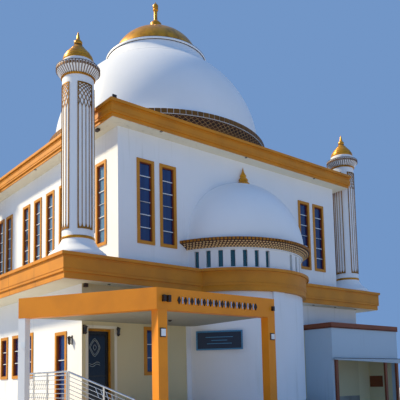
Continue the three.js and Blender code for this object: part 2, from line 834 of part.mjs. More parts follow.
function railing() {
  const x = PORCH_X0 + 60;
  const y = PORCH_Y0 + 60;
  const top = RAIL_TOP;
  const end = -3400;
  const rods = [rod([x, y, top], [x, end, top], 25)];
  for (let k = 1; k <= 4; k += 1) {
    rods.push(rod([x, y, top - 170 * k], [x, end, top - 170 * k], 11, 6));
  }
  for (const at of [y, -5160, -4300, end]) {
    rods.push(rod([x, at, FLOOR + GAP], [x, at, top + 12], 24));
  }
  add('porch_railing', toGeometry(union(rods)), STEEL);
  const rise = FLOOR / RISERS;
  const slope = (CANOPY_C[0] - CANOPY_A[0]) / (CANOPY_C[1] - CANOPY_A[1]);
  const fall = rise / STEP_RUN;
  const at = (yy) => CANOPY_A[0] + slope * (yy - CANOPY_A[1]) - 10;
  const y0 = PORCH_Y0 - 30;
  const y1 = PORCH_Y0 - STEP_RUN * 4.5;
  const z0 = top;
  const z1 = z0 + fall * (y1 - y0);
  const flight = [rod([at(y0), y0, z0], [at(y1), y1, z1], 25)];
  for (let k = 1; k <= 4; k += 1) {
    flight.push(rod([at(y0), y0, z0 - 170 * k], [at(y1), y1, z1 - 170 * k], 11, 6));
  }
  for (const step of [1, 3, 5]) {
    const yy = step === 1 ? y0 : PORCH_Y0 - STEP_RUN * (step - 0.5);
    const foot = FLOOR - rise * step + GAP;
    flight.push(rod([at(yy), yy, foot], [at(yy), yy, top + fall * (yy - y0) + 12], 24));
  }
  add('steps_railing', toGeometry(union(flight)), STEEL);
}

// Annex against the right part of the front. Its front is open under a visor on three posts, and
// its right wall turns back to meet the side of the building.

function annex() {
  const back = -HALL - GAP;
  const t = 180;
  const deep = back + t;
  const side = GROUND_X + GAP;
  const top = ANNEX_TOP - 200 - GAP;
  const walls = [
    [ANNEX_X0, back],
    [ANNEX_X0, ANNEX_Y],
    [ANNEX_X1, ANNEX_Y],
    [ANNEX_X1, deep],
    [side, deep],
    [side, back],
    [ANNEX_X1 - t, back],
    [ANNEX_X1 - t, ANNEX_Y + t],
    [ANNEX_X0 + t, ANNEX_Y + t],
    [ANNEX_X0 + t, back],
  ];
  const opening = box(ANNEX_X0 + t, ANNEX_X1 - t, ANNEX_Y - 10, ANNEX_Y + t + 10, -10, 2310);
  add('annex_walls', toGeometry(prism(walls, 0, top).subtract(opening)), CREAM);
  const eaves = [
    [ANNEX_X0 - 40, back],
    [ANNEX_X0 - 40, ANNEX_Y - 40],
    [ANNEX_X1 + 40, ANNEX_Y - 40],
    [ANNEX_X1 + 40, deep + 40],
    [side, deep + 40],
    [side, back],
  ];
  add('annex_roof', toGeometry(prism(eaves, top + GAP, ANNEX_TOP)), BROWN);
  const face = ANNEX_Y - GAP;
  const visor = box(ANNEX_X0 - 60, ANNEX_X1 + 40, face - 140, face, 2330, 2365);
  const lip = new THREE.Shape([
    new THREE.Vector2(ANNEX_X0 - 60, 2325),
    new THREE.Vector2(ANNEX_X1 + 40, 2200),
    new THREE.Vector2(ANNEX_X1 + 40, 2365),
    new THREE.Vector2(ANNEX_X0 - 60, 2365),
  ]);
  const strip = new THREE.ExtrudeGeometry(lip, { depth: 30, bevelEnabled: false });
  strip.rotateX(Math.PI / 2);
  strip.translate(0, face - 110, 0);
  const posts = [3134, 6190, 6960].map((x) => box(x, x + 125, face - 80, face, 0, 2340));
  add('lean_to', toGeometry(union([visor, ...posts, toSolid(strip)])), BROWN);
}

groundStorey();
entrance();
gallery();
ledgeCornice();
bayCornice();
upperStorey();
roof();
mainDome();
bayTop();
minarets();
canopy();
porch();
railing();
annex();

export default model;
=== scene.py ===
"""Looks of a domed prayer hall with slender minarets, a curved bay and a skewed entrance canopy.

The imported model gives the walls, slabs and floors. This script dresses them, and adds the round
and carved work as fine surfaces: domes, minarets, lattices, window joinery, lamps and railings.
Every length is in metres, +Z is up and the entrance front faces -Y.
"""

from __future__ import annotations

import functools
import logging
import math
from dataclasses import dataclass, field
from enum import Enum

import bmesh
import bpy
import numpy as np
from mathutils import Matrix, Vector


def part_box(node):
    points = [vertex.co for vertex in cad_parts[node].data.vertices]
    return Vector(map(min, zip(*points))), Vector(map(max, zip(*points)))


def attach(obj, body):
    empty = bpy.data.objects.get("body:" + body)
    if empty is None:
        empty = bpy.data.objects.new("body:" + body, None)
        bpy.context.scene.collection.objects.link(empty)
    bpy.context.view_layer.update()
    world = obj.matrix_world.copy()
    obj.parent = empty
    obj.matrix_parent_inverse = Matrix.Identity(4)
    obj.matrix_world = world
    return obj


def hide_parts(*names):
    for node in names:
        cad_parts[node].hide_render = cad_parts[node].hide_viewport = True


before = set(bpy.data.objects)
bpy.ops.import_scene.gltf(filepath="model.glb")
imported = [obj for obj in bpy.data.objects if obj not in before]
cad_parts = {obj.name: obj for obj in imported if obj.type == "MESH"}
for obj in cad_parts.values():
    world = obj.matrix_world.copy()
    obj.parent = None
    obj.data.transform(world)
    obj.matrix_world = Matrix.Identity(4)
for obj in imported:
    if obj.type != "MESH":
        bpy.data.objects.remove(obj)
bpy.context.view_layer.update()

log = logging.getLogger("prayer_hall")

BUILDING = "building"
DOOR = "door"
FULL_TURN = 2.0 * math.pi
# The hair of clearance that keeps a thin piece from meeting the face behind it.
CLEAR = 0.0005
UP = np.array([0.0, 0.0, 1.0])
Socket = bpy.types.NodeSocket


class Axis(Enum):
    """The horizontal direction that a straight piece runs along."""

    X = 0
    Y = 1
    NONE = 2


class Side(Enum):
    """A side of the square hall, by the direction that it faces."""

    FRONT = (0.0, -1.0)
    BACK = (0.0, 1.0)
    LEFT = (-1.0, 0.0)
    RIGHT = (1.0, 0.0)


# Surfaces


@dataclass
class Patch:
    """A piece of surface: points, four-sided faces, and a pattern place for each point."""

    points: np.ndarray
    faces: np.ndarray
    uv: np.ndarray | None = None


def join(patches: list[Patch]) -> Patch:
    """Put several patches together, with the face numbers shifted by the points before them.

    Args:
        patches: The patches, with or without pattern places.

    Returns:
        One patch.
    """
    starts = np.cumsum([0] + [len(p.points) for p in patches[:-1]])
    points = np.concatenate([p.points for p in patches])
    faces = np.concatenate([p.faces + s for p, s in zip(patches, starts)])
    uv = np.concatenate([np.zeros((len(p.points), 2)) if p.uv is None else p.uv for p in patches])
    return Patch(points, faces, uv)


def grid(points: np.ndarray, uv: np.ndarray | None = None) -> Patch:
    """Join a net of points by four-sided faces, row to row and column to column.

    Args:
        points: An array of rows by columns by 3.
        uv: An array of rows by columns by 2, or None.

    Returns:
        The patch.
    """
    rows, columns = points.shape[:2]
    corner = (np.arange(rows - 1)[:, None] * columns + np.arange(columns - 1)).ravel()
    faces = np.stack([corner, corner + 1, corner + columns + 1, corner + columns], axis=1)
    return Patch(points.reshape(-1, 3), faces, None if uv is None else uv.reshape(-1, 2))


def revolve(profile: np.ndarray, centre: tuple[float, float], segments: int, cells: float = 1.0,
            shape: np.ndarray | None = None, turn: np.ndarray | None = None) -> Patch:
    """Turn a profile about an upright axis: x = cx + r cos a, y = cy + r sin a, z = z.

    Args:
        profile: Radius and height of each point, n by 2.
        centre: Where the axis stands.
        segments: Steps in the turn.
        cells: Pattern cells in a full turn.
        shape: A factor on the radius for each step and point, or None for a round.
        turn: The angle a for each step and point, or None for a full turn.

    Returns:
        The patch, whose pattern runs round in cells and up by the length of the profile.
    """
    if turn is None:
        turn = np.linspace(0.0, FULL_TURN, segments + 1)[:, None]
    radius = profile[None, :, 0] * (1.0 if shape is None else shape)
    x = centre[0] + radius * np.cos(turn)
    y = centre[1] + radius * np.sin(turn)
    z = np.broadcast_to(profile[None, :, 1], x.shape)
    run = np.concatenate([[0.0], np.cumsum(np.linalg.norm(np.diff(profile, axis=0), axis=1))])
    uv = np.stack(np.broadcast_arrays(turn / FULL_TURN * cells, run[None, :]), axis=-1)
    return grid(np.stack([x, y, z], axis=-1), uv)


def around(angle: np.ndarray, rise: float = 0.0) -> tuple[np.ndarray, np.ndarray]:
    """Directions about an upright axis: (cos a, sin a, rise) made one long, and
    (-sin a, cos a, 0).

    Args:
        angle: Angles from +X, of any shape.
        rise: How far the outward direction leans up.

    Returns:
        The outward and the sideways directions.
    """
    c, s = np.cos(angle), np.sin(angle)
    out = np.stack([c, s, np.full_like(c, rise)], axis=-1) / math.hypot(1.0, rise)
    return out, np.stack([-s, c, np.zeros_like(c)], axis=-1)


def curve_through(points: list[tuple[float, float]], per_span: int = 6,
                  z: float = 0.0) -> np.ndarray:
    """A smooth line through the points: each span is a cubic whose slope at a point is half
    the step between that point's neighbours.

    Args:
        points: Radius and height of each point.
        per_span: Steps in each span.
        z: A height that is added to all.

    Returns:
        Points along the line, n by 2.
    """
    p = np.array(points, float) + (0.0, z)
    padded = np.concatenate([[2 * p[0] - p[1]], p, [2 * p[-1] - p[-2]]])
    t = np.linspace(0.0, 1.0, per_span, endpoint=False)[None, :, None]
    a, b, c, d = (padded[i:len(padded) - 3 + i, None, :] for i in range(4))
    spans = 0.5 * (2 * b + (c - a) * t + (2 * a - 5 * b + 4 * c - d) * t**2
                   + (3 * b - a - 3 * c + d) * t**3)
    line = np.concatenate([spans.reshape(-1, 2), p[-1:]])
    line[:, 0] = np.maximum(line[:, 0], 0.0)
    return line


def round_bead(radius: float, z: float, half: float, steps: int = 10) -> np.ndarray:
    """The closed profile of a bead: a circle of the given half width about radius and z."""
    a = np.linspace(0.0, FULL_TURN, steps + 1)
    return np.stack([radius + half * np.cos(a), z + half * np.sin(a)], axis=1)


def closed(points: list[tuple[float, float]], radius: float = 0.0, z: float = 0.0) -> np.ndarray:
    """A profile that returns to its first point, moved by a radius and a height."""
    return np.array(points + points[:1], float) + (radius, z)


def blocks(centre: np.ndarray, out: np.ndarray, along: np.ndarray, up: np.ndarray) -> Patch:
    """Boxes given by a centre and three half edges each: corner = c +- out +- along +- up.

    Args:
        centre: Centres, n by 3.
        out: First half edge of each, n by 3.
        along: Second half edge of each, n by 3.
        up: Third half edge of each, n by 3.

    Returns:
        The patch. Its pattern place is a number of its own for each box.
    """
    centre, out, along, up = np.broadcast_arrays(
        *(np.atleast_2d(np.asarray(v, float)) for v in (centre, out, along, up)))
    sign = np.array([[i, j, k] for i in (-1, 1) for j in (-1, 1) for k in (-1, 1)], float)
    points = (centre[:, None] + sign[None, :, 0:1] * out[:, None]
              + sign[None, :, 1:2] * along[:, None] + sign[None, :, 2:3] * up[:, None])
    box_faces = np.array([[0, 1, 3, 2], [4, 6, 7, 5], [0, 4, 5, 1],
                          [2, 3, 7, 6], [0, 2, 6, 4], [1, 5, 7, 3]])
    count = len(centre)
    faces = (box_faces[None] + 8 * np.arange(count)[:, None, None]).reshape(-1, 4)
    number = np.repeat(np.arange(count) + 0.5, 8)
    return Patch(points.reshape(-1, 3), faces, np.stack([number, number * 0.37], axis=1))


def boxes(low: list[tuple[float, float, float]], high: list[tuple[float, float, float]]) -> Patch:
    """Upright boxes between lowest and highest corners.

    Args:
        low: The lowest corner of each.
        high: The highest corner of each.

    Returns:
        The patch.
    """
    a = np.array(low, float)
    b = np.array(high, float)
    half = np.abs(b - a) / 2
    eye = np.eye(3)
    return blocks((a + b) / 2, half[:, 0:1] * eye[0], half[:, 1:2] * eye[1], half[:, 2:3] * eye[2])


def slab(plan: list[tuple[float, float]], z0: float, z1: float) -> Patch:
    """A level slab over a plan of four corners.

    Args:
        plan: The corners, in turn.
        z0: Its underside.
        z1: Its top.

    Returns:
        The patch.
    """
    corner = np.array(plan, float)
    points = np.concatenate([np.column_stack([corner, np.full(4, z)]) for z in (z0, z1)])
    side = np.array([[i, (i + 1) % 4, (i + 1) % 4 + 4, i + 4] for i in range(4)])
    return Patch(points, np.concatenate([side, [[3, 2, 1, 0], [4, 5, 6, 7]]]))


def bars(start: np.ndarray, end: np.ndarray, normal: np.ndarray, width: float,
         proud: float) -> Patch:
    """Straight square-edged bars that lie on a surface.

    Args:
        start: Where each bar starts, n by 3.
        end: Where each bar ends, n by 3.
        normal: The surface's outward direction at each, n by 3.
        width: Width across the bar.
        proud: How far it stands out. It is sunk by the same amount.

    Returns:
        The patch.
    """
    run = end - start
    length = np.linalg.norm(run, axis=1, keepdims=True)
    side = np.cross(normal, run / length)
    side /= np.linalg.norm(side, axis=1, keepdims=True)
    return blocks((start + end) / 2, normal * proud, side * width / 2, run / 2)


def tube(path: np.ndarray, radius: float, sides: int = 12) -> Patch:
    """A round bar along a line of points, with its ends closed by a short taper.

    Each ring is path + radius (cos a s + sin a t), where s and t are square to the line.

    Args:
        path: Points along the middle, n by 3.
        radius: Radius of the bar.
        sides: Faces round it.

    Returns:
        The patch.
    """
    slope = np.gradient(path, axis=0)
    slope /= np.linalg.norm(slope, axis=1, keepdims=True)
    helper = np.array([0.0, 0.0, 1.0]) if abs(slope[0, 2]) < 0.9 else np.array([1.0, 0.0, 0.0])
    s = np.cross(slope, helper)
    s /= np.linalg.norm(s, axis=1, keepdims=True)
    t = np.cross(slope, s)
    a = np.linspace(0.0, FULL_TURN, sides + 1)[None, :, None]
    ring = np.cos(a) * s[:, None] + np.sin(a) * t[:, None]
    middle = path[:, None] + radius * ring
    first = np.repeat(path[:1, None], sides + 1, axis=1)
    last = np.repeat(path[-1:, None], sides + 1, axis=1)
    return grid(np.concatenate([first, middle, last]))


def square_band(reach: tuple[float, float, float, float], z0: float, z1: float,
                depth: float) -> Patch:
    """A band round a rectangle in plan, with mitred corners.

    Args:
        reach: Lowest x, highest x, lowest y and highest y of its outer face.
        z0: Its lower edge.
        z1: Its upper edge.
        depth: How far it reaches inwards.

    Returns:
        The patch.
    """
    x0, x1, y0, y1 = reach
    section = np.array([[0, z0], [0, z1], [depth, z1], [depth, z0], [0, z0]], float)
    corner = np.array([[x0, y0], [x1, y0], [x1, y1], [x0, y1], [x0, y0]], float)
    inward = np.array([[1, 1], [-1, 1], [-1, -1], [1, -1], [1, 1]], float)
    plan = corner[:, None] + inward[:, None] * section[None, :, 0:1]
    z = np.broadcast_to(section[None, :, 1:2], plan.shape[:2] + (1,))
    return grid(np.concatenate([plan, z], axis=-1))


def make_piece(name: str, patch: Patch, finish: "Finish", body: str = BUILDING,
               node: str = "", smooth: float = 40.0) -> bpy.types.Object:
    """Turn a patch into a closed mesh object that rides on a body.

    Args:
        name: Name of the piece.
        patch: Its surface.
        finish: What it is made of.
        body: The body that carries it.
        node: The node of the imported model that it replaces, if any.
        smooth: Edges flatter than this angle in degrees are shaded round.

    Returns:
        The object.
    """
    mesh = bpy.data.meshes.new(name)
    mesh.from_pydata(patch.points.tolist(), [], patch.faces.tolist())
    if patch.uv is not None:
        layer = mesh.uv_layers.new(name="pattern")
        corner = np.zeros(len(mesh.loops), dtype=np.int32)
        mesh.loops.foreach_get("vertex_index", corner)
        layer.data.foreach_set("uv", patch.uv[corner].astype(np.float32).ravel())
    work = bmesh.new()
    work.from_mesh(mesh)
    bmesh.ops.remove_doubles(work, verts=work.verts, dist=2e-5)
    bmesh.ops.recalc_face_normals(work, faces=work.faces)
    work.to_mesh(mesh)
    work.free()
    mesh.shade_smooth()
    mesh.set_sharp_from_angle(angle=math.radians(smooth))
    mesh.materials.append(finish.material())
    piece = bpy.data.objects.new(name, mesh)
    bpy.context.scene.collection.objects.link(piece)
    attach(piece, body)
    if node:
        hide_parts(node)
    log.info("%s: %d faces on %s", name, len(mesh.polygons), body)
    return piece


# Finishes


def linear(colour: str) -> tuple[float, float, float, float]:
    """Turn an sRGB hex colour into linear light.

    Args:
        colour: Six hex digits after a hash.

    Returns:
        Red, green, blue and an alpha of one.
    """
    parts = [int(colour[i:i + 2], 16) / 255 for i in (1, 3, 5)]
    low = [c / 12.92 if c <= 0.04045 else ((c + 0.055) / 1.055) ** 2.4 for c in parts]
    return (*low, 1.0)


def add_node(tree: bpy.types.NodeTree, kind: str, settings: dict, inputs: dict) -> bpy.types.Node:
    """Add one shader node, set it up and link it.

    Args:
        tree: The material's node tree.
        kind: The node's type, after the start that all shader nodes share.
        settings: Its own properties.
        inputs: For each input, a value, a hex colour, or the output socket that feeds it.

    Returns:
        The node.
    """
    node = tree.nodes.new("ShaderNode" + kind)
    for key, value in settings.items():
        setattr(node, key, value)
    for key, value in inputs.items():
        if isinstance(value, Socket):
            tree.links.new(value, node.inputs[key])
        else:
            node.inputs[key].default_value = linear(value) if isinstance(value, str) else value
    return node


@dataclass
class Palette:
    """The nodes of one material, on which a finish draws its pattern."""

    tree: bpy.types.NodeTree
    shader: bpy.types.Node

    def __post_init__(self) -> None:
        """Add the node that gives places on the surface."""
        place = add_node(self.tree, "TexCoord", {}, {})
        self.where, self.uv = place.outputs["Object"], place.outputs["UV"]

    def node(self, kind: str, inputs: dict, output: int = 0, **settings: object) -> Socket:
        """Add one node, with what feeds it and its own properties, and give one of its outputs."""
        return add_node(self.tree, kind, settings, inputs).outputs[output]

    def mix(self, share: object, a: object, b: object) -> Socket:
        """Blend colour a into colour b by a share between 0 and 1."""
        return self.node("Mix", {0: share, 6: a, 7: b}, 2, data_type="RGBA")

    def ramp(self, value: Socket, low: float, high: float) -> Socket:
        """Stretch the part of a value between low and high to 0 and 1, and clamp the rest."""
        return self.node("MapRange", {"Value": value, "From Min": low, "From Max": high},
                         clamp=True)

    def maths(self, operation: str, a: object, b: object) -> Socket:
        """Work out one sum of two values."""
        return self.node("Math", {0: a, 1: b}, operation=operation)

    def axis(self, place: Socket, number: int) -> Socket:
        """One of the three parts of a place or a direction."""
        return self.node("SeparateXYZ", {0: place}, number)

    def noise(self, size: float, stretch: tuple[float, float, float] = (1.0, 1.0, 1.0),
              detail: float = 3.0) -> Socket:
        """Cloudy variation, 0 to 1, in patches of a size in metres, with finer detail in them."""
        scaled = self.node("Mapping", {"Vector": self.where, "Scale": stretch})
        return self.node("TexNoise", {"Vector": scaled, "Scale": 1.0 / size, "Detail": detail})

    def inside(self, low: tuple[float, ...], high: tuple[float, ...]) -> Socket:
        """Tell where the surface lies in an upright box.

        Args:
            low: The box's lowest corner.
            high: Its highest corner.

        Returns:
            One in the box and zero outside of it.
        """
        share = 1.0
        for number in range(3):
            part = self.axis(self.where, number)
            share = self.maths("MULTIPLY", share, self.maths("GREATER_THAN", part, low[number]))
            share = self.maths("MULTIPLY", share, self.maths("LESS_THAN", part, high[number]))
        return share

    def paint(self, colour: Socket) -> None:
        """Let a colour cover the surface."""
        self.tree.links.new(colour, self.shader.inputs["Base Color"])

    def grain(self, height: Socket, depth: float, strength: float) -> None:
        """Let a height move the surface's shading by a depth in metres."""
        bump = self.node("Bump", {"Height": height, "Distance": depth, "Strength": strength})
        self.tree.links.new(bump, self.shader.inputs["Normal"])

    def fix(self, socket: str, value: object) -> None:
        """Set a constant on one of the surface shader's own sockets."""
        self.shader.inputs[socket].default_value = value


@dataclass(frozen=True)
class Finish:
    """What a surface is made of. Each kind of finish draws its own pattern."""

    title: str
    slot: str
    colour: str
    roughness: float = 0.6

    @functools.lru_cache(maxsize=None)
    def material(self) -> bpy.types.Material:
        """Make the Blender material, once.

        Returns:
            The material.
        """
        material = bpy.data.materials.new(self.title)
        material.use_nodes = True
        tree = material.node_tree
        palette = Palette(tree, tree.nodes["Principled BSDF"])
        palette.fix("Roughness", self.roughness)
        palette.fix("Base Color", linear(self.colour))
        self.dress(palette)
        return material

    def dress(self, on: Palette) -> None:
        """Draw the finish's own pattern.

        Args:
            on: The material's nodes.
        """


@dataclass(frozen=True)
class WallPaint(Finish):
    """Matt masonry paint on trowelled render. It looks soft, with faint clouds from the
    trowel, thin rain marks that run down, and a fine sandy grain. A second colour may cover
    the part of the wall that lies in a box."""

    stain: str = "#b9bcb4"
    rain: float = 0.35
    grit: float = 0.012
    second: str = ""
    low: tuple[float, ...] = (0.0, 0.0, 0.0)
    high: tuple[float, ...] = (0.0, 0.0, 0.0)

    def dress(self, on: Palette) -> None:
        """Draw clouds, rain marks and sandy grain.

        Args:
            on: The material's nodes.
        """
        cloud = on.ramp(on.noise(1.7), 0.35, 0.8)
        streak = on.ramp(on.noise(0.16, (1.0, 1.0, 0.07), 5.0), 0.56, 0.82)
        patch = on.ramp(on.noise(2.6), 0.45, 0.75)
        share = on.maths("MULTIPLY", on.maths("MULTIPLY", streak, patch), self.rain * 2.0)
        body = on.mix(cloud, self.colour, on.mix(0.12, self.colour, self.stain))
        colour = on.mix(share, body, self.stain)
        if self.second:
            colour = on.mix(on.inside(self.low, self.high), colour, self.second)
        on.paint(colour)
        # Sand in render is about 1 mm, drawn coarser so that it shows.
        sand = on.maths("MULTIPLY", on.noise(self.grit, detail=2.0), 0.25)
        on.grain(on.maths("ADD", sand, on.noise(0.35)), 0.006, 0.6)


@dataclass(frozen=True)
class TrimPaint(Finish):
    """Enamel-like paint brushed on cement mouldings. It has a low sheen, brush lines along the
    run, darker dust on what faces up, and fine joints across where two casts meet."""

    shade: str = "#8a4f08"
    along: Axis = Axis.NONE
    joint_spacing: float = 1.9
    joint_width: float = 0.014

    def dress(self, on: Palette) -> None:
        """Draw clouds, brush lines, dust and joints.

        Args:
            on: The material's nodes.
        """
        cloud = on.ramp(on.noise(0.8, detail=5.0), 0.4, 0.85)
        smear = {Axis.X: (0.12, 1, 1), Axis.Y: (1, 0.12, 1), Axis.NONE: (1, 1, 0.35)}[self.along]
        normal = on.node("NewGeometry", {}, 1)
        dust = on.ramp(on.axis(normal, 2), 0.3, 1.0)
        dark = on.mix(0.45, self.colour, self.shade)
        colour = on.mix(dust, on.mix(cloud, self.colour, dark), self.shade)
        if self.along is not Axis.NONE:
            way = on.axis(on.where, self.along.value)
            step = on.maths("PINGPONG", way, self.joint_spacing / 2)
            joint = on.ramp(step, self.joint_width, self.joint_width * 0.3)
            colour = on.mix(joint, colour, self.shade)
        on.paint(colour)
        on.grain(on.noise(0.05, smear, 4.0), 0.003, 0.5)


@dataclass(frozen=True)
class DiamondRelief(Finish):
    """Cement relief painted in two colours, in diamonds that stand on their points. The lower
    part may run out into a third colour, between two heights."""

    second: str = "#d9a441"
    cell_height: float = 0.2
    foot: str = ""
    foot_z: tuple[float, float] = (0.0, 1.0)
    soot: str = "#2a1208"

    def dress(self, on: Palette) -> None:
        """Draw a chequer on the pattern's own places, turned by an eighth of a turn.

        A chequer of unit squares turned so has diamonds as wide as the root of two.

        Args:
            on: The material's nodes.
        """
        root = math.sqrt(2.0)
        cells = on.node("Mapping", {"Vector": on.uv, "Scale": (root, root / self.cell_height, 1.0)})
        turned = on.node("Mapping", {"Vector": cells, "Rotation": (0.0, 0.0, math.pi / 4)})
        chequer = add_node(on.tree, "TexChecker", {},
                           {"Vector": turned, "Scale": 1.0, "Color1": self.colour,
                            "Color2": self.second})
        fresh, which = chequer.outputs
        cloud = on.ramp(on.noise(0.12, detail=5.0), 0.5, 0.9)
        colour = on.mix(cloud, fresh, on.mix(0.5, fresh, self.soot))
        if self.foot:
            share = on.ramp(on.axis(on.where, 2), *self.foot_z)
            colour = on.mix(share, self.foot, colour)
        on.paint(colour)
        on.grain(which, 0.008, 0.5)


@dataclass(frozen=True)
class ShadedFlutes(Finish):
    """White plaster flutes whose hollows are darkened with brown as painted shade."""

    # The brown of the painted shade in the hollows.
    hollow: str = "#6a4526"

    def dress(self, on: Palette) -> None:
        """Darken the middle of each cell of the pattern, where the flute is deepest, with brown as
        painted shade.

        Args:
            on: The material's nodes.
        """
        # Painted shade: brown where the flute is deepest.
        share = on.ramp(on.maths("PINGPONG", on.axis(on.uv, 0), 0.5), 0.22, 0.42)
        on.paint(on.mix(share, self.colour, self.hollow))
        on.grain(on.noise(0.05), 0.003, 0.4)


@dataclass(frozen=True)
class TintedGlass(Finish):
    """Tinted float glass before a dark room. It is almost black straight on, bluer towards the
    curtains behind it, and it mirrors the sky at a slant. On the pale panes both of its colours are
    painted sky reflection."""

    curtain_and_painted_sky: str = "#1d4a66"
    coat: float = 0.6

    def dress(self, on: Palette) -> None:
        """Draw the folds of what hangs behind the glass as upright bands. On the pale panes these
        bands are painted sky reflection.

        Args:
            on: The material's nodes.
        """
        on.fix("IOR", 1.52)
        on.fix("Coat Weight", self.coat)
        on.fix("Coat Roughness", 0.03)
        folds = on.ramp(on.noise(0.14, (1.0, 1.0, 0.05)), 0.42, 0.8)
        share = on.maths("MULTIPLY", folds, on.ramp(on.noise(1.3), 0.3, 0.7))
        # On the pale panes this blend is painted sky reflection.
        on.paint(on.mix(share, self.colour, self.curtain_and_painted_sky))
        on.grain(on.noise(0.7), 0.002, 0.15)


@dataclass(frozen=True)
class GlossPaint(Finish):
    """Smooth gloss paint or moulded plastic on small parts, with slight wear and grain. The
    wear has a size and two bounds, and the grain a size, a detail, a depth and a strength."""

    worn: str = "#808080"
    metal: float = 0.0
    wear: tuple[float, ...] = (0.09, 0.62, 0.9)
    grit: tuple[float, ...] = (0.03, 3.0, 0.001, 0.3)

    def dress(self, on: Palette) -> None:
        """Draw worn clouds and the surface's grain.

        Args:
            on: The material's nodes.
        """
        on.fix("Metallic", self.metal)
        size, low, high = self.wear
        on.paint(on.mix(on.ramp(on.noise(size, detail=6.0), low, high), self.colour, self.worn))
        size, detail, depth, strength = self.grit
        on.grain(on.noise(size, detail=detail), depth, strength)


@dataclass(frozen=True)
class GoldPaint(GlossPaint):
    """Gold paint with metal flakes on sheet and cast pieces. It glints softly, and it is
    duller and browner where the flakes have worn."""

    worn: str = "#7c4a10"
    metal: float = 0.45
    wear: tuple[float, ...] = (0.3, 0.45, 0.85)
    grit: tuple[float, ...] = (0.06, 3.0, 0.003, 0.4)


@dataclass(frozen=True)
class Concrete(GlossPaint):
    """Float-finished concrete: grey, cloudy where it is damp, pitted, with a sandy grain."""

    worn: str = "#6f6c64"
    wear: tuple[float, ...] = (0.9, 0.4, 0.75)
    grit: tuple[float, ...] = (0.02, 4.0, 0.004, 0.7)


@dataclass(frozen=True)
class GlazedTile(Finish):
    """Glazed floor tiles in cement joints. The glaze shines and its tone varies by tile."""

    second: str = "#b7a382"
    joint: str = "#8d8676"
    joint_width: float = 0.005
    tile: float = 0.4

    def dress(self, on: Palette) -> None:
        """Draw square tiles in plan, and up the risers by the same joints.

        Args:
            on: The material's nodes.
        """
        brick = add_node(on.tree, "TexBrick", {"offset": 0.0},
                         {"Vector": on.where, "Color1": self.colour, "Color2": self.second,
                          "Mortar": self.joint, "Scale": 1.0, "Mortar Size": self.joint_width,
                          "Brick Width": self.tile, "Row Height": self.tile})
        fresh, gap = brick.outputs
        cloud = on.ramp(on.noise(0.06, detail=5.0), 0.4, 0.9)
        on.paint(on.mix(cloud, fresh, on.mix(0.3, fresh, self.second)))
        on.grain(gap, -0.002, 0.6)


@dataclass(frozen=True)
class PolishedSteel(Finish):
    """Stainless tube, polished along its length, with faint smears."""

    def dress(self, on: Palette) -> None:
        """Make it metal, and vary its roughness by smears.

        Args:
            on: The material's nodes.
        """
        on.fix("Metallic", 1.0)
        smear = on.noise(0.08, (1.0, 1.0, 0.3), 4.0)
        rough = on.node("MapRange", {"Value": smear, "To Min": self.roughness * 0.6,
                                     "To Max": self.roughness * 1.6})
        on.tree.links.new(rough, on.shader.inputs["Roughness"])


@dataclass(frozen=True)
class LampGlass(Finish):
    """Frosted lamp glass that glows faintly by day."""

    def dress(self, on: Palette) -> None:
        """Draw a frosted unevenness.

        Args:
            on: The material's nodes.
        """
        on.fix("Emission Color", linear(self.colour))
        on.fix("Emission Strength", 0.12)
        on.grain(on.noise(0.02), 0.001, 0.4)


WHITE = WallPaint("white masonry paint", "white_paint", "#f0f2f4", 0.72)
DOME_WHITE = WallPaint("white dome paint", "white_paint", "#f4f6f8", 0.42, rain=0.12)
CREAM = WallPaint("cream masonry paint", "cream_paint", "#d8cba0", 0.75, "#a89a70", 0.45)
# Darker grey than the other soffits: painted shade under the canopy.
SHADED_CEILING = WallPaint("canopy soffit paint greyed as painted shade", "cream_paint", "#aaa797", 0.75, "#7f7c6c", 0.5)
SOFFIT = WallPaint("cream soffit paint", "cream_paint", "#ece5cf", 0.75, "#b3a884", 0.5)
CORNER_WALL = WallPaint("white and cream masonry paint", "cream_paint", "#f0f2f4", 0.75,
                        second="#d8cba0", low=(-6.299, -9.0, -1.0), high=(0.0, 9.0, 9.0))
OVER_ANNEX = WallPaint("white masonry paint over cream", "cream_paint", "#f0f2f4", 0.75,
                       second="#d8cba0", low=(3.0, -9.0, -1.0), high=(7.2, -4.0, 3.485))
ANNEX_WALL = WallPaint("blue-grey masonry paint", "cream_paint", "#c3d2db", 0.75, "#8fa0a8", 0.6,
                       second="#e6d9ad", low=(3.215, -6.185, -1.0), high=(7.015, -5.09, 4.0))
OCHRE = TrimPaint("ochre moulding paint", "ochre_paint", "#d88a04", 0.55, "#86500a")
OCHRE_Y = TrimPaint("ochre moulding paint along", "ochre_paint", "#d88a04", 0.55, "#86500a",
                    along=Axis.Y)
ORANGE = TrimPaint("orange canopy paint", "orange_paint", "#f09204", 0.5, "#b96a06")
FRAME = TrimPaint("ochre frame paint", "ochre_paint", "#cc8606", 0.5, "#8a5608")
GOLD = GoldPaint("gold dome paint", "gold_paint", "#d9971c", 0.34)
BRONZE = GoldPaint("bronze panel paint", "gold_paint", "#9c6a1a", 0.5, "#5e3c10")
GOLD_TRIM = GoldPaint("gold trim paint", "gold_paint", "#c98a1a", 0.4)
RELIEF = DiamondRelief("maroon lattice relief", "lattice_paint", "#35100c", 0.6, "#4a1c12", 0.2)
DOME_RELIEF = DiamondRelief("dark lattice ground", "lattice_paint", "#2a0f0a", 0.6, "#45200f", 0.2,
                            foot="#a8701a", foot_z=(10.52, 10.80))
PALE_RELIEF = GlossPaint("cream relief paint", "lattice_paint", "#e0b980", 0.6, "#b08a50")
PALE_GOLD = GoldPaint("pale gold rib paint", "lattice_paint", "#c9a06a", 0.45, "#8a6434")
OLIVE = GoldPaint("olive brown block paint", "lattice_paint", "#86591e", 0.5, "#5c3c14")
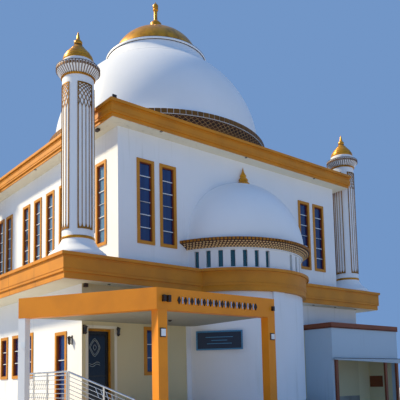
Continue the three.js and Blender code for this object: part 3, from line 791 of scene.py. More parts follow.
TILE_TIER = GoldPaint("ochre tier blocks", "lattice_paint", "#b8741a", 0.5, "#7c4a14")
DARK_BAND = GlossPaint("dark brown band", "lattice_paint", "#3a1c10", 0.6, "#5a3a20")
SHADED_FLUTE = ShadedFlutes("white flutes with painted shade in the hollows", "white_paint", "#eef1f3", 0.6)
PANE = TintedGlass("tinted window glass", "window_glass", "#0e2458", 0.06, "#1f4c8c")
# Pale blue glass with lighter upright bands: painted sky reflection.
SKY_PAINTED_PANE = TintedGlass("window glass with painted sky reflection", "window_glass", "#5d86a8", 0.06,
                        "#b4d0e2")
TEAL = TintedGlass("teal slot glass", "teal_glass", "#0f4d58", 0.1, "#2b8c96")
BAR = GlossPaint("white glazing bar", "white_paint", "#e8eef2", 0.4, "#a8b4bc")
CONCRETE = Concrete("float-finished concrete", "concrete", "#a9a69c", 0.85)
TILE = GlazedTile("glazed floor tile", "stone_tile", "#cdbb9a", 0.25)
STEEL = PolishedSteel("polished stainless tube", "stainless_steel", "#d4d7da", 0.22)
BROWN = TrimPaint("brown timber paint", "brown_paint", "#8a431c", 0.5, "#4c2410")
SHEET = GlossPaint("grey roof sheet", "brown_paint", "#b4bfc4", 0.45, "#7d878b")
LEAF_GLASS = TintedGlass("black door glass", "door_leaf", "#07090c", 0.12, "#10171a", 0.0)
LEAF_FRAME = GlossPaint("black door paint", "door_leaf", "#15171a", 0.3, "#33363a")
ETCHED = GlossPaint("etched pale film", "door_leaf", "#a9b3b0", 0.6, "#7c8684")
LANTERN = GlossPaint("dark lantern metal", "brown_paint", "#2a1a12", 0.45, "#4b3a2c")
LAMP = LampGlass("frosted lamp glass", "white_paint", "#f3efe2", 0.3)
NAVY = GlossPaint("navy board face", "window_glass", "#122a44", 0.4, "#1f4a6c")
BOARD_EDGE = GlossPaint("blue board border", "window_glass", "#3f86b0", 0.4, "#2a5f84")
FLOOR = Finish("studio floor", "stage", "#c9cbcd", 0.9)


def paint_nodes(names: list[str], finish: Finish) -> None:
    """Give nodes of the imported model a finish.

    Args:
        names: The nodes.
        finish: What they are made of.
    """
    for name in names:
        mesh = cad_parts[name].data
        mesh.materials.clear()
        mesh.materials.append(finish.material())
        log.info("%s: %s", name, finish.title)


# Main dome


@dataclass
class MainDome:
    """The dome on its flared ring, with the collar, the gold cap and the finial."""

    segments: int = 192
    drum_radius: float = 4.23
    drum_inner: float = 4.0
    flare_z: float = 10.40
    tier_z: float = 10.975
    eye: float = 2.58
    wall: float = 0.15
    lattice_cells: int = 128
    tier_blocks: int = 128
    cap_wall: float = 0.11
    centre: tuple[float, float] = (0.0, 0.0)

    def __post_init__(self) -> None:
        """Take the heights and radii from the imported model."""
        low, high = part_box("dome_ring")
        self.ring_low, self.ring_high, self.ring_radius = low.z, high.z, high.x
        low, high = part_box("dome_shell")
        self.shell_radius, self.shell_z = high.x, low.z
        reach = math.sqrt(1.0 - (self.eye / self.shell_radius) ** 2)
        self.shell_height = (high.z - low.z) / reach
        low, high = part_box("dome_collar")
        self.collar_z, self.collar_top = low.z, high.z
        low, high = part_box("dome_cap")
        self.cap_z, self.cap_radius, self.tip = low.z, high.x, high.z

    def build(self) -> None:
        """Make every piece of the dome."""
        self.ring()
        self.lattice()
        self.tier()
        self.shell()
        self.collar()
        self.cap()
        self.finial()

    def turned(self, name: str, profile: np.ndarray, finish: Finish, node: str,
               cells: float = 1.0) -> None:
        """Make a round piece about the dome's axis, which stands for a node, if one is named."""
        make_piece(name, revolve(profile, self.centre, self.segments, cells), finish, node=node)

    def flare(self, share: np.ndarray) -> np.ndarray:
        """Radius and height of the flare: it leans out as the square of the way up.

        Args:
            share: The way up, 0 to 1.

        Returns:
            Radius and height, n by 2.
        """
        z = self.flare_z + (self.tier_z - self.flare_z) * share
        r = self.drum_radius + 0.004 + (self.ring_radius - 0.035 - self.drum_radius) * share**1.4
        return np.stack([r, z], axis=-1)

    def ring(self) -> None:
        """The plain drum and the flare that carries the lattice."""
        i = self.drum_inner
        drum = closed([(i, self.ring_low), (self.drum_radius, self.ring_low),
                       (self.drum_radius, self.flare_z), (i, self.flare_z)])
        self.turned("dome_drum_wall", drum, WHITE, "dome_ring")
        out = self.flare(np.linspace(0.0, 1.0, 9))
        flare = np.vstack([out, (i, self.tier_z), (i, self.flare_z), out[0]])
        self.turned("dome_flare", flare, DOME_RELIEF, "dome_ring", self.lattice_cells)

    def lattice(self) -> None:
        """Pale gold ribs that cross in diamonds over the flare, and the line at its foot: a rib
        runs at angle = start +- way up times rows."""
        rows = 4.5
        steps = 9
        share = np.linspace(0.02, 0.98, steps + 1)
        line = self.flare(share)
        start = np.arange(self.lattice_cells) / self.lattice_cells * FULL_TURN
        lean = rows / 2 / self.lattice_cells * FULL_TURN
        patches = []
        for way in (-1.0, 1.0):
            angle = start[:, None] + way * lean * 2 * share[None, :]
            out = around(angle, -0.6)[0][:, :-1].reshape(-1, 3)
            point = around(angle)[0] * line[None, :, 0:1] + UP * line[None, :, 1:2]
            patches.append(bars(point[:, :-1].reshape(-1, 3), point[:, 1:].reshape(-1, 3), out,
                                0.010, 0.011))
        rim = round_bead(self.drum_radius + 0.006, self.flare_z, 0.012)
        patches.append(revolve(rim, self.centre, self.segments))
        make_piece("dome_lattice", join(patches), PALE_GOLD)

    def tier(self) -> None:
        """The white band over the lattice and its row of ochre blocks."""
        top = self.ring_high
        face = self.ring_radius - 0.022
        inner, tall = 4.1 - face, top - self.tier_z
        band = closed([(inner, 0.0), (-0.01, 0.0), (0.012, 0.006), (0.012, 0.014), (0.0, 0.018),
                       (0.0, tall - 0.012), (-0.012, tall), (inner, tall)], face, self.tier_z)
        self.turned("dome_tier_band", band, WHITE, "dome_ring")
        out, along = around((np.arange(self.tier_blocks) + 0.5) / self.tier_blocks * FULL_TURN)
        width = FULL_TURN * face / self.tier_blocks - 0.022
        height = top - 0.028 - (self.tier_z + 0.022)
        z = self.tier_z + 0.022 + height / 2
        make_piece("dome_tier_blocks",
                   blocks(out * (face - 0.004) + UP * z, out * 0.022, along * width / 2,
                          UP * height / 2), OLIVE)

    def shell(self) -> None:
        """The dome: r = R cos a and z = z0 + H sin a, outside and inside, up to the eye."""
        last = math.acos(self.eye / self.shell_radius)
        a = np.linspace(0.0, last, 49)
        out = np.stack([self.shell_radius * np.cos(a),
                        self.shell_z + self.shell_height * np.sin(a)], axis=1)
        radius = self.shell_radius - self.wall
        b = np.linspace(math.acos(self.eye / radius), 0.0, 25)
        back = np.stack([radius * np.cos(b),
                         self.shell_z + (self.shell_height - self.wall) * np.sin(b)], axis=1)
        self.turned("main_dome", np.vstack([out, back, out[:1]]), DOME_WHITE, "dome_shell")

    def collar(self) -> None:
        """The white collar, a hollow curve from its lip up to the cap."""
        z, top = self.collar_z, self.collar_top
        inner, outer = self.eye - 0.15, self.eye - 0.004
        curve = curve_through([(outer, 0.012), (2.42, 0.138), (2.26, 0.328), (2.15, 0.528),
                               (2.112, top - z - 0.10)], 6, z)
        head = np.array([[2.112, -0.092], [2.15, -0.085], [2.157, -0.07], [2.157, -0.012],
                         [2.148, 0.0], [1.76, 0.0], [1.76, -0.09]])
        back = np.array([[1.95, 0.48], [2.09, 0.27], [inner, 0.06], [inner, 0.0], [outer, 0.0]])
        profile = np.concatenate([curve, head + (0.0, top), back + (0.0, z), curve[:1]])
        self.turned("dome_collar_curve", profile, DOME_WHITE, "dome_collar")
        lines = [round_bead(2.13, top - 0.097, 0.011), round_bead(2.148, top + 0.002, 0.009)]
        make_piece("dome_collar_lines",
                   join([revolve(line, self.centre, self.segments) for line in lines]), DARK_BAND)

    def cap(self) -> None:
        """The gold cap: a low dome of the same kind as the main one, with a rim at its foot."""
        neck = 0.25
        height = 1.45
        last = math.acos(neck / self.cap_radius)
        a = np.linspace(0.0, last, 33)
        out = np.stack([self.cap_radius * np.cos(a), self.cap_z + height * np.sin(a)], axis=1)
        b = np.linspace(last, 0.0, 17)
        radius = self.cap_radius - self.cap_wall
        back = np.stack([radius * np.cos(b),
                         self.cap_z + (height - self.cap_wall) * np.sin(b)], axis=1)
        self.cap_top = float(out[-1, 1])
        self.turned("dome_cap_shell", np.vstack([out, back, out[:1]]), GOLD, "dome_cap")
        rim = round_bead(self.cap_radius - 0.012, self.cap_z + 0.02, 0.012)
        self.turned("dome_cap_rim", rim, DARK_BAND, "")

    def finial(self) -> None:
        """The turned finial: base drum, hollow neck, double knob and point."""
        f, tip = self.cap_top, self.tip
        h = tip - f
        line = curve_through([(0.262, -0.03), (0.262, 0.03), (0.248, 0.06), (0.248, 0.38),
                              (0.24, 0.42), (0.172, 0.50), (0.10, 0.585), (0.078, 0.64),
                              (0.076, 0.98), (0.112, 1.04), (0.115, 1.085), (0.088, 1.115),
                              (0.113, 1.155), (0.115, 1.27), (0.052, h - 0.092), (0.02, h - 0.04),
                              (0.0, h)], 5, f)
        make_piece("dome_finial", revolve(np.vstack([(0.0, f - 0.03), line]), self.centre, 48),
                   GOLD, node="dome_cap")


# Straight cornices, soffits and their lights


@dataclass
class Cornices:
    """The roof cornice and the ledge cornice, with their beads, soffits and small lights."""

    bead: float = 0.012
    lip: float = 0.12
    roof_lights: tuple[float, ...] = (-3.8, -0.18, 3.44)
    roof_light_reach: float = 5.53
    ledge_lights: tuple[float, ...] = (-5.59, -3.3, 3.3, 4.6, 5.9)
    ledge_light_y: float = -5.38

    def build(self) -> None:
        """Dress the straight runs and add what is too fine for them."""
        paint_nodes([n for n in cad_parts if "_cornice" in n and not n.endswith("bay")], OCHRE)
        paint_nodes(["ledge_cornice_left", "ledge_cornice_right"], OCHRE_Y)
        self.roof_beads()
        self.roof_soffit()
        self.ledge_beads()
        self.ledge_soffits()
        self.lights()

    def roof_beads(self) -> None:
        """Thin beads and a fine fillet round the roof cornice."""
        low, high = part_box("roof_cornice_front")
        edge = high.x - 0.05 + self.bead
        rows = [(low.z + 0.17, 0.016), (low.z + 0.345, 0.012), (low.z + 0.385, 0.012)]
        patches = [square_band((-edge, edge, -edge, edge), z, z + h, 0.03) for z, h in rows]
        make_piece("roof_cornice_beads", join(patches), OCHRE)

    def roof_soffit(self) -> None:
        """The cream board under the roof cornice, from the wall to the fascia."""
        low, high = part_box("roof_cornice_front")
        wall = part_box("upper_wall_front")[0].y
        edge = high.x - 0.09 - 0.03
        board = square_band((-edge, edge, -edge, edge), low.z - 0.014, low.z - 0.001,
                            edge + wall - 0.002)
        make_piece("roof_soffit", board, SOFFIT)

    def ledge_runs(self, name: str) -> tuple[Axis, float]:
        """Find how a run of the ledge's cornice lies.

        Args:
            name: The run's node.

        Returns:
            The direction that it follows and the place of its band's face.
        """
        low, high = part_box(name)
        inset = 0.05
        runs = {"left": (Axis.Y, low.x + inset), "right": (Axis.Y, high.x - inset),
                "back": (Axis.X, high.y - inset)}
        return runs.get(name.removeprefix("ledge_cornice_"), (Axis.X, low.y + inset))

    def ledge_beads(self) -> None:
        """A fine bead at the lower third and one under the cap of each ledge run."""
        low, high = [], []
        for name in sorted(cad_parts):
            if not name.startswith("ledge_cornice") or name.endswith("bay"):
                continue
            axis, face = self.ledge_runs(name)
            a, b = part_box(name)
            for z, h in ((a.z + 0.255, 0.014), (a.z + 0.575, 0.02)):
                if axis is Axis.Y:
                    low.append((face - self.bead, a.y + 0.05, z))
                    high.append((face + self.bead, b.y - 0.05, z + h))
                else:
                    low.append((a.x + (0.05 if a.x < -6 else 0.0), face - self.bead, z))
                    high.append((b.x - (0.05 if b.x > 6 else 0.0), face + self.bead, z + h))
        make_piece("ledge_cornice_beads", boxes(low, high), OCHRE)

    def ledge_soffits(self) -> None:
        """Pale boards under the ledge, from the ground walls to the fascia."""
        left, right, back, front, other = (
            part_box(f"ledge_cornice_{run}")
            for run in ("left", "right", "back", "front_left", "front_right"))
        z1 = left[0].z - 0.001
        z0 = z1 - 0.012
        x0, x1 = left[0].x + self.lip, right[1].x - self.lip
        y0, y1 = front[0].y + self.lip, back[1].y - self.lip
        gap = 0.005
        low = [(x0, y0, z0), (right[0].x + gap, y0, z0), (left[1].x, back[0].y + gap, z0),
               (left[1].x, y0, z0), (other[0].x, y0, z0)]
        high = [(left[1].x - gap, y1, z1), (x1, y1, z1), (right[0].x, y1, z1),
                (front[1].x, front[1].y - gap, z1), (right[0].x, other[1].y - gap, z1)]
        make_piece("ledge_soffits", boxes(low, high), SOFFIT)

    def lights(self) -> None:
        """Small round lights set in the soffits, a dark rim and a frosted lens each, and two
        dark spot lamps at the roof's front left corner."""
        roof_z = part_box("roof_cornice_front")[0].z - 0.014
        ledge_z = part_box("ledge_cornice_left")[0].z - 0.013
        step = np.array(self.roof_lights)
        side = np.full_like(step, self.roof_light_reach)
        plan = np.concatenate([np.stack([step, -side], 1), np.stack([step, side], 1),
                               np.stack([-side, step], 1), np.stack([side, step], 1)])
        places = [(x, y, roof_z) for x, y in plan]
        places += [(x, self.ledge_light_y, ledge_z) for x in self.ledge_lights]
        rim = closed([(0.022, -0.014), (0.04, -0.014), (0.045, -0.006), (0.045, 0.004),
                      (0.022, 0.004)])
        lens = np.array([[0.0, -0.010], [0.014, -0.009], [0.025, -0.004], [0.025, 0.003],
                         [0.0, 0.003]])
        rims, lenses = [], []
        for x, y, z in places:
            rims.append(revolve(rim + (0.0, z), (x, y), 16))
            lenses.append(revolve(lens + (0.0, z), (x, y), 16))
        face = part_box("roof_cornice_front")[0].y + 0.05
        spots = boxes([(-5.50, -4.60, roof_z - 0.075), (-5.59, face - 0.04, 9.87)],
                      [(-5.41, -4.45, roof_z + 0.004), (-5.46, face + 0.004, 9.975)])
        make_piece("roof_spot_lamps", spots, LANTERN)
        make_piece("soffit_light_rims", join(rims), LANTERN)
        make_piece("soffit_light_lenses", join(lenses), LAMP)


# Windows


@dataclass(frozen=True)
class WindowRow:
    """A row of like windows in one wall."""

    name: str
    side: Side
    face: float
    centres: tuple[float, ...]
    z0: float
    z1: float
    bars: tuple[float, ...] = (1 / 6, 2 / 6, 3 / 6, 4 / 6, 5 / 6)
    width: float = 0.618


@dataclass
class Windows:
    """Joinery and glass of every window: ochre frames, tinted panes and white glazing bars."""

    frame_width: float = 0.085
    proud: float = 0.03
    depth: float = 0.11
    pane_depth: float = 0.055
    bar: float = 0.022

    def rows(self) -> list[WindowRow]:
        """List the windows on each wall of both storeys.

        Returns:
            The rows.
        """
        upper = (5.852, 8.498)
        lower = (1.86, 3.29)
        all_round = (-4.115, -3.26, -1.56, -0.52, 0.52, 1.56, 3.26, 4.115)
        sides = (-1.56, -0.52, 0.52, 1.56, 3.26)
        half = (1 / 3, 2 / 3)
        return [
            WindowRow("upper_front", Side.FRONT, 5.1, (-4.115, -3.26, 3.26, 4.115), *upper),
            WindowRow("upper_left", Side.LEFT, 5.1, all_round, *upper),
            WindowRow("upper_right", Side.RIGHT, 5.1, all_round, *upper),
            WindowRow("upper_back", Side.BACK, 5.1, all_round, *upper),
            WindowRow("lower_left", Side.LEFT, 6.3, sides, *lower, half),
            WindowRow("lower_right", Side.RIGHT, 6.3, sides, *lower, half),
            WindowRow("lower_back", Side.BACK, 5.1, all_round, *lower, half),
            WindowRow("lower_front", Side.FRONT, 5.1, (-3.915,), *lower, half),
            WindowRow("tall_left", Side.LEFT, 6.3, (-3.835,), 1.07, 3.15, (0.62,), 0.71),
            WindowRow("tall_right", Side.RIGHT, 6.3, (-3.835,), 1.07, 3.15, (0.62,), 0.71),
        ]

    def build(self) -> None:
        """Make the joinery of every row."""
        glass = {"upper_front": "upper_glass", "lower_front": "ground_glass_front",
                 "lower_left": "ground_glass_sides"}
        for row in self.rows():
            self.joinery(row)
            self.panes(row, glass.get(row.name, ""))

    def on_wall(self, row: WindowRow, s: np.ndarray, out: np.ndarray, z: np.ndarray) -> np.ndarray:
        """Place points given along the wall, out of it and up: p = n (face + out) + t s.

        Args:
            row: The row, which names its wall.
            s: Places along the wall, as its x or y.
            out: Distances out of the wall's face.
            z: Heights.

        Returns:
            Points, n by 3.
        """
        nx, ny = row.side.value
        distance = row.face + np.asarray(out, float)
        s = np.asarray(s, float)
        x = nx * distance + abs(ny) * s
        y = ny * distance + abs(nx) * s
        return np.stack(np.broadcast_arrays(x, y, z), axis=-1)

    def wall_boxes(self, row: WindowRow, spans: list[tuple[float, ...]]) -> Patch:
        """Boxes on a wall.

        Args:
            row: The row, which names its wall.
            spans: For each box, s0, s1, out0, out1, z0 and z1.

        Returns:
            The patch.
        """
        a = np.array(spans, float)
        low = self.on_wall(row, a[:, 0], a[:, 2], a[:, 4])
        high = self.on_wall(row, a[:, 1], a[:, 3], a[:, 5])
        return boxes(np.minimum(low, high), np.maximum(low, high))

    def joinery(self, row: WindowRow) -> None:
        """An outer frame, a stepped inner frame and the glazing bars of each window.

        Args:
            row: The row of windows.
        """
        outer, inner, glazing = [], [], []
        w = self.frame_width
        for c in row.centres:
            a, b = c - row.width / 2, c + row.width / 2
            z0, z1 = row.z0, row.z1
            lap = 0.012
            front, back = self.proud, -self.depth
            outer += [(a - lap, a + w, back, front, z0 - lap, z1 + lap),
                      (b - w, b + lap, back, front, z0 - lap, z1 + lap),
                      (a + w, b - w, back, front, z1 - w, z1 + lap),
                      (a + w, b - w, back, front, z0 - lap, z0 + w)]
            t = 0.022
            p, q = a + w, b - w
            inner += [(p, p + t, back, front - 0.035, z0 + w, z1 - w),
                      (q - t, q, back, front - 0.035, z0 + w, z1 - w),
                      (p + t, q - t, back, front - 0.035, z1 - w - t, z1 - w),
                      (p + t, q - t, back, front - 0.035, z0 + w, z0 + w + t)]
            for share in row.bars:
                z = z0 + w + t + (z1 - z0 - 2 * w - 2 * t) * share
                thick = self.bar * (0.45 if abs(share - 0.5) < 0.01 else 1.0)
                glazing.append((p + t, q - t, -self.pane_depth, -self.pane_depth + 0.03,
                                z - thick / 2, z + thick / 2))
        make_piece(f"{row.name}_window_frames", self.wall_boxes(row, outer), FRAME)
        make_piece(f"{row.name}_window_stops", self.wall_boxes(row, inner), BROWN)
        make_piece(f"{row.name}_glazing_bars", self.wall_boxes(row, glazing), BAR)

    def panes(self, row: WindowRow, node: str) -> None:
        """The panes of each window, one above each bar.

        Args:
            row: The row of windows.
            node: The sheet of glass that the panes replace, if any.
        """
        spans = []
        w = self.frame_width
        for c in row.centres:
            edges = [0.0, *row.bars, 1.0]
            for low, high in zip(edges[:-1], edges[1:]):
                z0 = row.z0 + w + (row.z1 - row.z0 - 2 * w) * low
                z1 = row.z0 + w + (row.z1 - row.z0 - 2 * w) * high
                spans.append((c - row.width / 2 + w, c + row.width / 2 - w,
                              -self.pane_depth - 0.014, -self.pane_depth - 0.006, z0, z1))
        # The upper left windows get glass whose pale blue is painted sky reflection.
        glass = SKY_PAINTED_PANE if row.name == "upper_left" else PANE
        make_piece(f"{row.name}_panes", self.wall_boxes(row, spans), glass, node=node)


# Bay with its slotted drum, ring and half dome


@dataclass
class Bay:
    """The curved bay from the ground to its finial."""

    centre_y: float = -4.182
    cut_y: float = -5.1003
    radius: float = 2.653
    wall: float = 0.2
    steps: int = 96
    slots: int = 7
    first_slot: float = 12.0
    slot_step: float = 8.5
    slot_width: float = 0.15
    slot_z: tuple[float, float] = (5.23, 5.775)
    dome_axes: tuple[float, float, float] = (2.49, 1.72, 2.38)
    dome_wall: float = 0.12

    def build(self) -> None:
        """Make every piece of the bay."""
        self.ground_wall()
        self.cornice()
        self.drum()
        self.ring()
        self.half_dome()
        self.finial()

    def sweep(self, profile: np.ndarray, cell: float = 1.0) -> Patch:
        """Turn a profile about the bay's axis, only in front of the wall plane.

        A point of radius r runs from -acos((cy - cut) / r) to +acos((cy - cut) / r) about -Y, so
        both ends of every round lie on the wall plane.

        Args:
            profile: Radius and height of each point, n by 2.
            cell: Width of a pattern cell along the outermost round.

        Returns:
            The patch, with both ends closed if the profile closes.
        """
        reach = np.arccos(np.clip((self.centre_y - self.cut_y) / profile[:, 0], -1.0, 1.0))
        turn = np.linspace(-1.0, 1.0, self.steps + 1)[:, None] * reach[None, :] - math.pi / 2
        cells = FULL_TURN * profile[:, 0].max() / cell
        patch = revolve(profile, (0.0, self.centre_y), self.steps, cells, turn=turn)
        # The pattern is counted from the middle of the sweep.
        patch.uv[:, 0] += cells / 4
        return patch

    def ground_wall(self) -> None:
        """The plain curved wall below the ledge, and the pier at its front."""
        low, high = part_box("bay_wall")
        r, i = self.radius, self.radius - self.wall
        profile = closed([(i, low.z), (r, low.z), (r, high.z), (i, high.z)])
        patches = [self.sweep(profile)]
        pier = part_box("ledge_cornice_bay")[0].z - 0.001
        patches.append(boxes([(-0.45, low.y, low.z)], [(0.05, self.centre_y - r + 0.1, pier)]))
        make_piece("bay_curved_wall", join(patches), WHITE, node="bay_wall")

    def cornice(self) -> None:
        """The cornice round the bay, with the same beads as the straight runs."""
        low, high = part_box("ledge_cornice_bay")
        tall = high.z - low.z
        profile = closed([(0.001, 0.0), (0.127, 0.0), (0.127, 0.165), (0.135, 0.176),
                          (0.147, 0.176), (0.147, 0.252), (0.157, 0.256), (0.157, 0.268),
                          (0.147, 0.272), (0.147, 0.56), (0.162, 0.58), (0.162, 0.60),
                          (0.18, 0.626), (0.247, 0.626), (0.247, tall), (0.001, tall)],
                         self.radius, low.z)
        make_piece("bay_cornice_curve", self.sweep(profile), OCHRE, node="ledge_cornice_bay")

    def slot_angles(self) -> np.ndarray:
        """The middle of each slot, in radians from the front."""
        one = np.radians(self.first_slot + self.slot_step * np.arange(self.slots))
        return np.concatenate([-one[::-1], one])

    def drum(self) -> None:
        """The drum's wall with its slots cut through, and the teal glass behind them.

        The wall is a net of angle lines and height lines. A cell is open where a slot is, and
        faces are made only where solid meets open.
        """
        low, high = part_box("bay_drum")
        half = self.slot_width / 2 / self.radius
        reach = math.acos((self.centre_y - self.cut_y) / self.radius)
        slots = self.slot_angles()
        edges = np.sort(np.concatenate([[-reach, reach], slots - half, slots + half]))
        fine = np.concatenate([np.linspace(a, b, 5)[:-1] for a, b in zip(edges[:-1], edges[1:])])
        angle = np.append(fine, edges[-1])
        height = np.array([low.z, self.slot_z[0], self.slot_z[1], high.z])
        middle = (angle[:-1] + angle[1:]) / 2
        is_slot = (np.abs(middle[:, None] - slots[None, :]) < half).any(axis=1)
        solid = np.ones((len(middle), 3), bool)
        solid[is_slot, 1] = False
        make_piece("bay_drum_wall", self.cell_wall(angle, height, solid), WHITE, node="bay_drum")
        r = self.radius - 0.1
        glass = closed([(r, low.z), (r, high.z - 0.002), (r - 0.012, high.z - 0.002),
                        (r - 0.012, low.z)])
        make_piece("bay_slot_glass", self.sweep(glass), TEAL, node="bay_glass")
        sill = round_bead(self.radius + 0.01, self.slot_z[0] - 0.035, 0.016)
        make_piece("bay_drum_bead", self.sweep(sill), WHITE)

    def cell_wall(self, angle: np.ndarray, height: np.ndarray, solid: np.ndarray) -> Patch:
        """The faces round the solid cells of a curved wall.

        Args:
            angle: Angle lines, n.
            height: Height lines, m.
            solid: Which cells are solid, n - 1 by m - 1.

        Returns:
            The patch.
        """
        radii = np.array([self.radius, self.radius - 0.09])
        a, z, r = np.meshgrid(angle, height, radii, indexing="ij")
        shift = self.cut_y - self.centre_y
        x = r * np.sin(a)
        y = np.minimum(self.centre_y - r * np.cos(a), self.cut_y)
        x = np.where(np.abs(a) >= angle[-1] - 1e-6, np.sign(a) * np.sqrt(r**2 - shift**2), x)
        points = np.stack([x, y, z], axis=-1).reshape(-1, 3)
        number = np.arange(a.size).reshape(a.shape)

        def quads(where: np.ndarray, *corners: tuple[int, int, int]) -> np.ndarray:
            """Faces on the marked cells, by each corner's steps in angle, height and depth."""
            i, k = np.nonzero(where)
            return np.stack([number[i + a, k + b, c] for a, b, c in corners], axis=1)

        wide = np.pad(solid, ((1, 1), (0, 0)))
        tall = np.pad(solid, ((0, 0), (1, 1)))
        faces = [quads(solid, (0, 0, 0), (1, 0, 0), (1, 1, 0), (0, 1, 0)),
                 quads(solid, (0, 0, 1), (0, 1, 1), (1, 1, 1), (1, 0, 1)),
                 quads(wide[1:] != wide[:-1], (0, 0, 0), (0, 0, 1), (0, 1, 1), (0, 1, 0)),
                 quads(tall[:, 1:] != tall[:, :-1], (0, 0, 0), (1, 0, 0), (1, 0, 1), (0, 0, 1))]
        return Patch(points, np.concatenate(faces))

    def ring(self) -> None:
        """The flared ring: a white line, a chequered flare and a tier of small blocks."""
        low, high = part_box("bay_ring")
        out = -low.y + self.centre_y
        z0, z1 = low.z, high.z
        r = self.radius
        inner = r - 0.26
        tier = z1 - 0.095
        lip = closed([(-0.26, 0.0), (0.055, 0.0), (0.06, 0.006), (0.06, 0.03), (0.05, 0.036),
                      (-0.26, 0.036)], r, z0)
        make_piece("bay_ring_lip", self.sweep(lip), WHITE, node="bay_ring")
        share = np.linspace(0.0, 1.0, 9)
        flare = np.stack([r + 0.065 + (out - r - 0.11) * share**1.5,
                          z0 + 0.036 + (tier - z0 - 0.036) * share], axis=1)
        section = np.vstack([flare, (inner, tier), (inner, z0 + 0.036), flare[0]])
        make_piece("bay_flare", self.sweep(section, 0.085), RELIEF, node="bay_ring")
        self.diamonds(flare)
        band = closed([(inner, tier), (out - 0.03, tier), (out - 0.03, z1 - 0.012),
                       (out - 0.04, z1), (inner, z1)])
        make_piece("bay_tier_band", self.sweep(band), DARK_BAND, node="bay_ring")
        reach = math.acos((self.centre_y - self.cut_y) / out) - 0.02
        count = int(2 * reach * out / 0.122)
        ahead, along = around(np.linspace(-reach, reach, count) - math.pi / 2)
        centre = ahead * (out - 0.022) + (0.0, self.centre_y, (tier + z1) / 2 - 0.002)
        make_piece("bay_tier_blocks", blocks(centre, ahead * 0.02, along * 0.042, UP * 0.042),
                   TILE_TIER)

    def diamonds(self, flare: np.ndarray) -> None:
        """Cream diamonds in four staggered rows that stand on the flare.

        Args:
            flare: Radius and height of the flare's face, n by 2.
        """
        rows = 4
        cell = 0.115
        patches = []
        for row in range(rows):
            share = (row + 0.5) / rows
            r, z = (np.interp(share, np.linspace(0.0, 1.0, len(flare)), flare[:, i])
                    for i in (0, 1))
            reach = math.acos((self.centre_y - self.cut_y) / r) - 0.02
            angle = np.arange(-reach, reach, cell / flare[-1, 0]) + (row % 2) * cell / 2 / r
            angle -= math.pi / 2
            ahead, along = around(angle, -0.5)
            up = np.cross(ahead, along)
            centre = around(angle)[0] * r + (0.0, self.centre_y, z)
            wide, tall = along * 0.046, up * 0.034
            patches.append(blocks(centre, ahead * 0.010, (wide + tall) / 2, (wide - tall) / 2))
        make_piece("bay_flare_diamonds", join(patches), PALE_RELIEF)

    def half_dome(self) -> None:
        """Half of an ellipsoid against the wall: x = a cos v cos u, y = -b cos v sin u."""
        z0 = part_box("bay_half_dome")[0].z
        u = np.linspace(0.0, math.pi, 97)[:, None]
        patches = []
        for inset in (0.0, self.dome_wall):
            a, b, c = (axis - inset for axis in self.dome_axes)
            v = np.linspace(0.0, math.pi / 2, 49)[None, :]
            x = a * np.cos(v) * np.cos(u)
            y = self.cut_y - b * np.cos(v) * np.sin(u)
            z = z0 + c * np.sin(v) + 0.0 * u
            patches.append(np.stack([x, y, z], axis=-1))
        out, back = patches
        foot = grid(np.stack([out[:, 0], back[:, 0]], axis=1))
        edge = np.stack([np.concatenate([out[0], out[-1, ::-1]]),
                         np.concatenate([back[0], back[-1, ::-1]])], axis=1)
        make_piece("bay_half_dome_shell", join([grid(out), grid(back), foot, grid(edge)]),
                   DOME_WHITE, node="bay_half_dome")

    def finial(self) -> None:
        """The small turned finial in three steps."""
        low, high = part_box("bay_finial")
        z, top = low.z, high.z
        r = high.x
        steps = [(0.96, 0.0), (1.0, 0.04), (1.0, 0.07), (0.70, 0.155), (0.76, 0.19), (0.74, 0.22),
                 (0.46, 0.31), (0.51, 0.345), (0.48, 0.38), (0.22, 0.48), (0.12, 0.57),
                 (0.0, top - z)]
        line = curve_through([(share * r, dz) for share, dz in steps], 5, z)
        patch = revolve(np.vstack([(0.0, z), line]), (0.0, low.y + r), 48)
        # Its back is cut flat where it meets the wall plane.
        patch.points[:, 1] = np.minimum(patch.points[:, 1], self.cut_y)
        make_piece("bay_turned_finial", patch, GOLD, node="bay_finial")


# Minarets


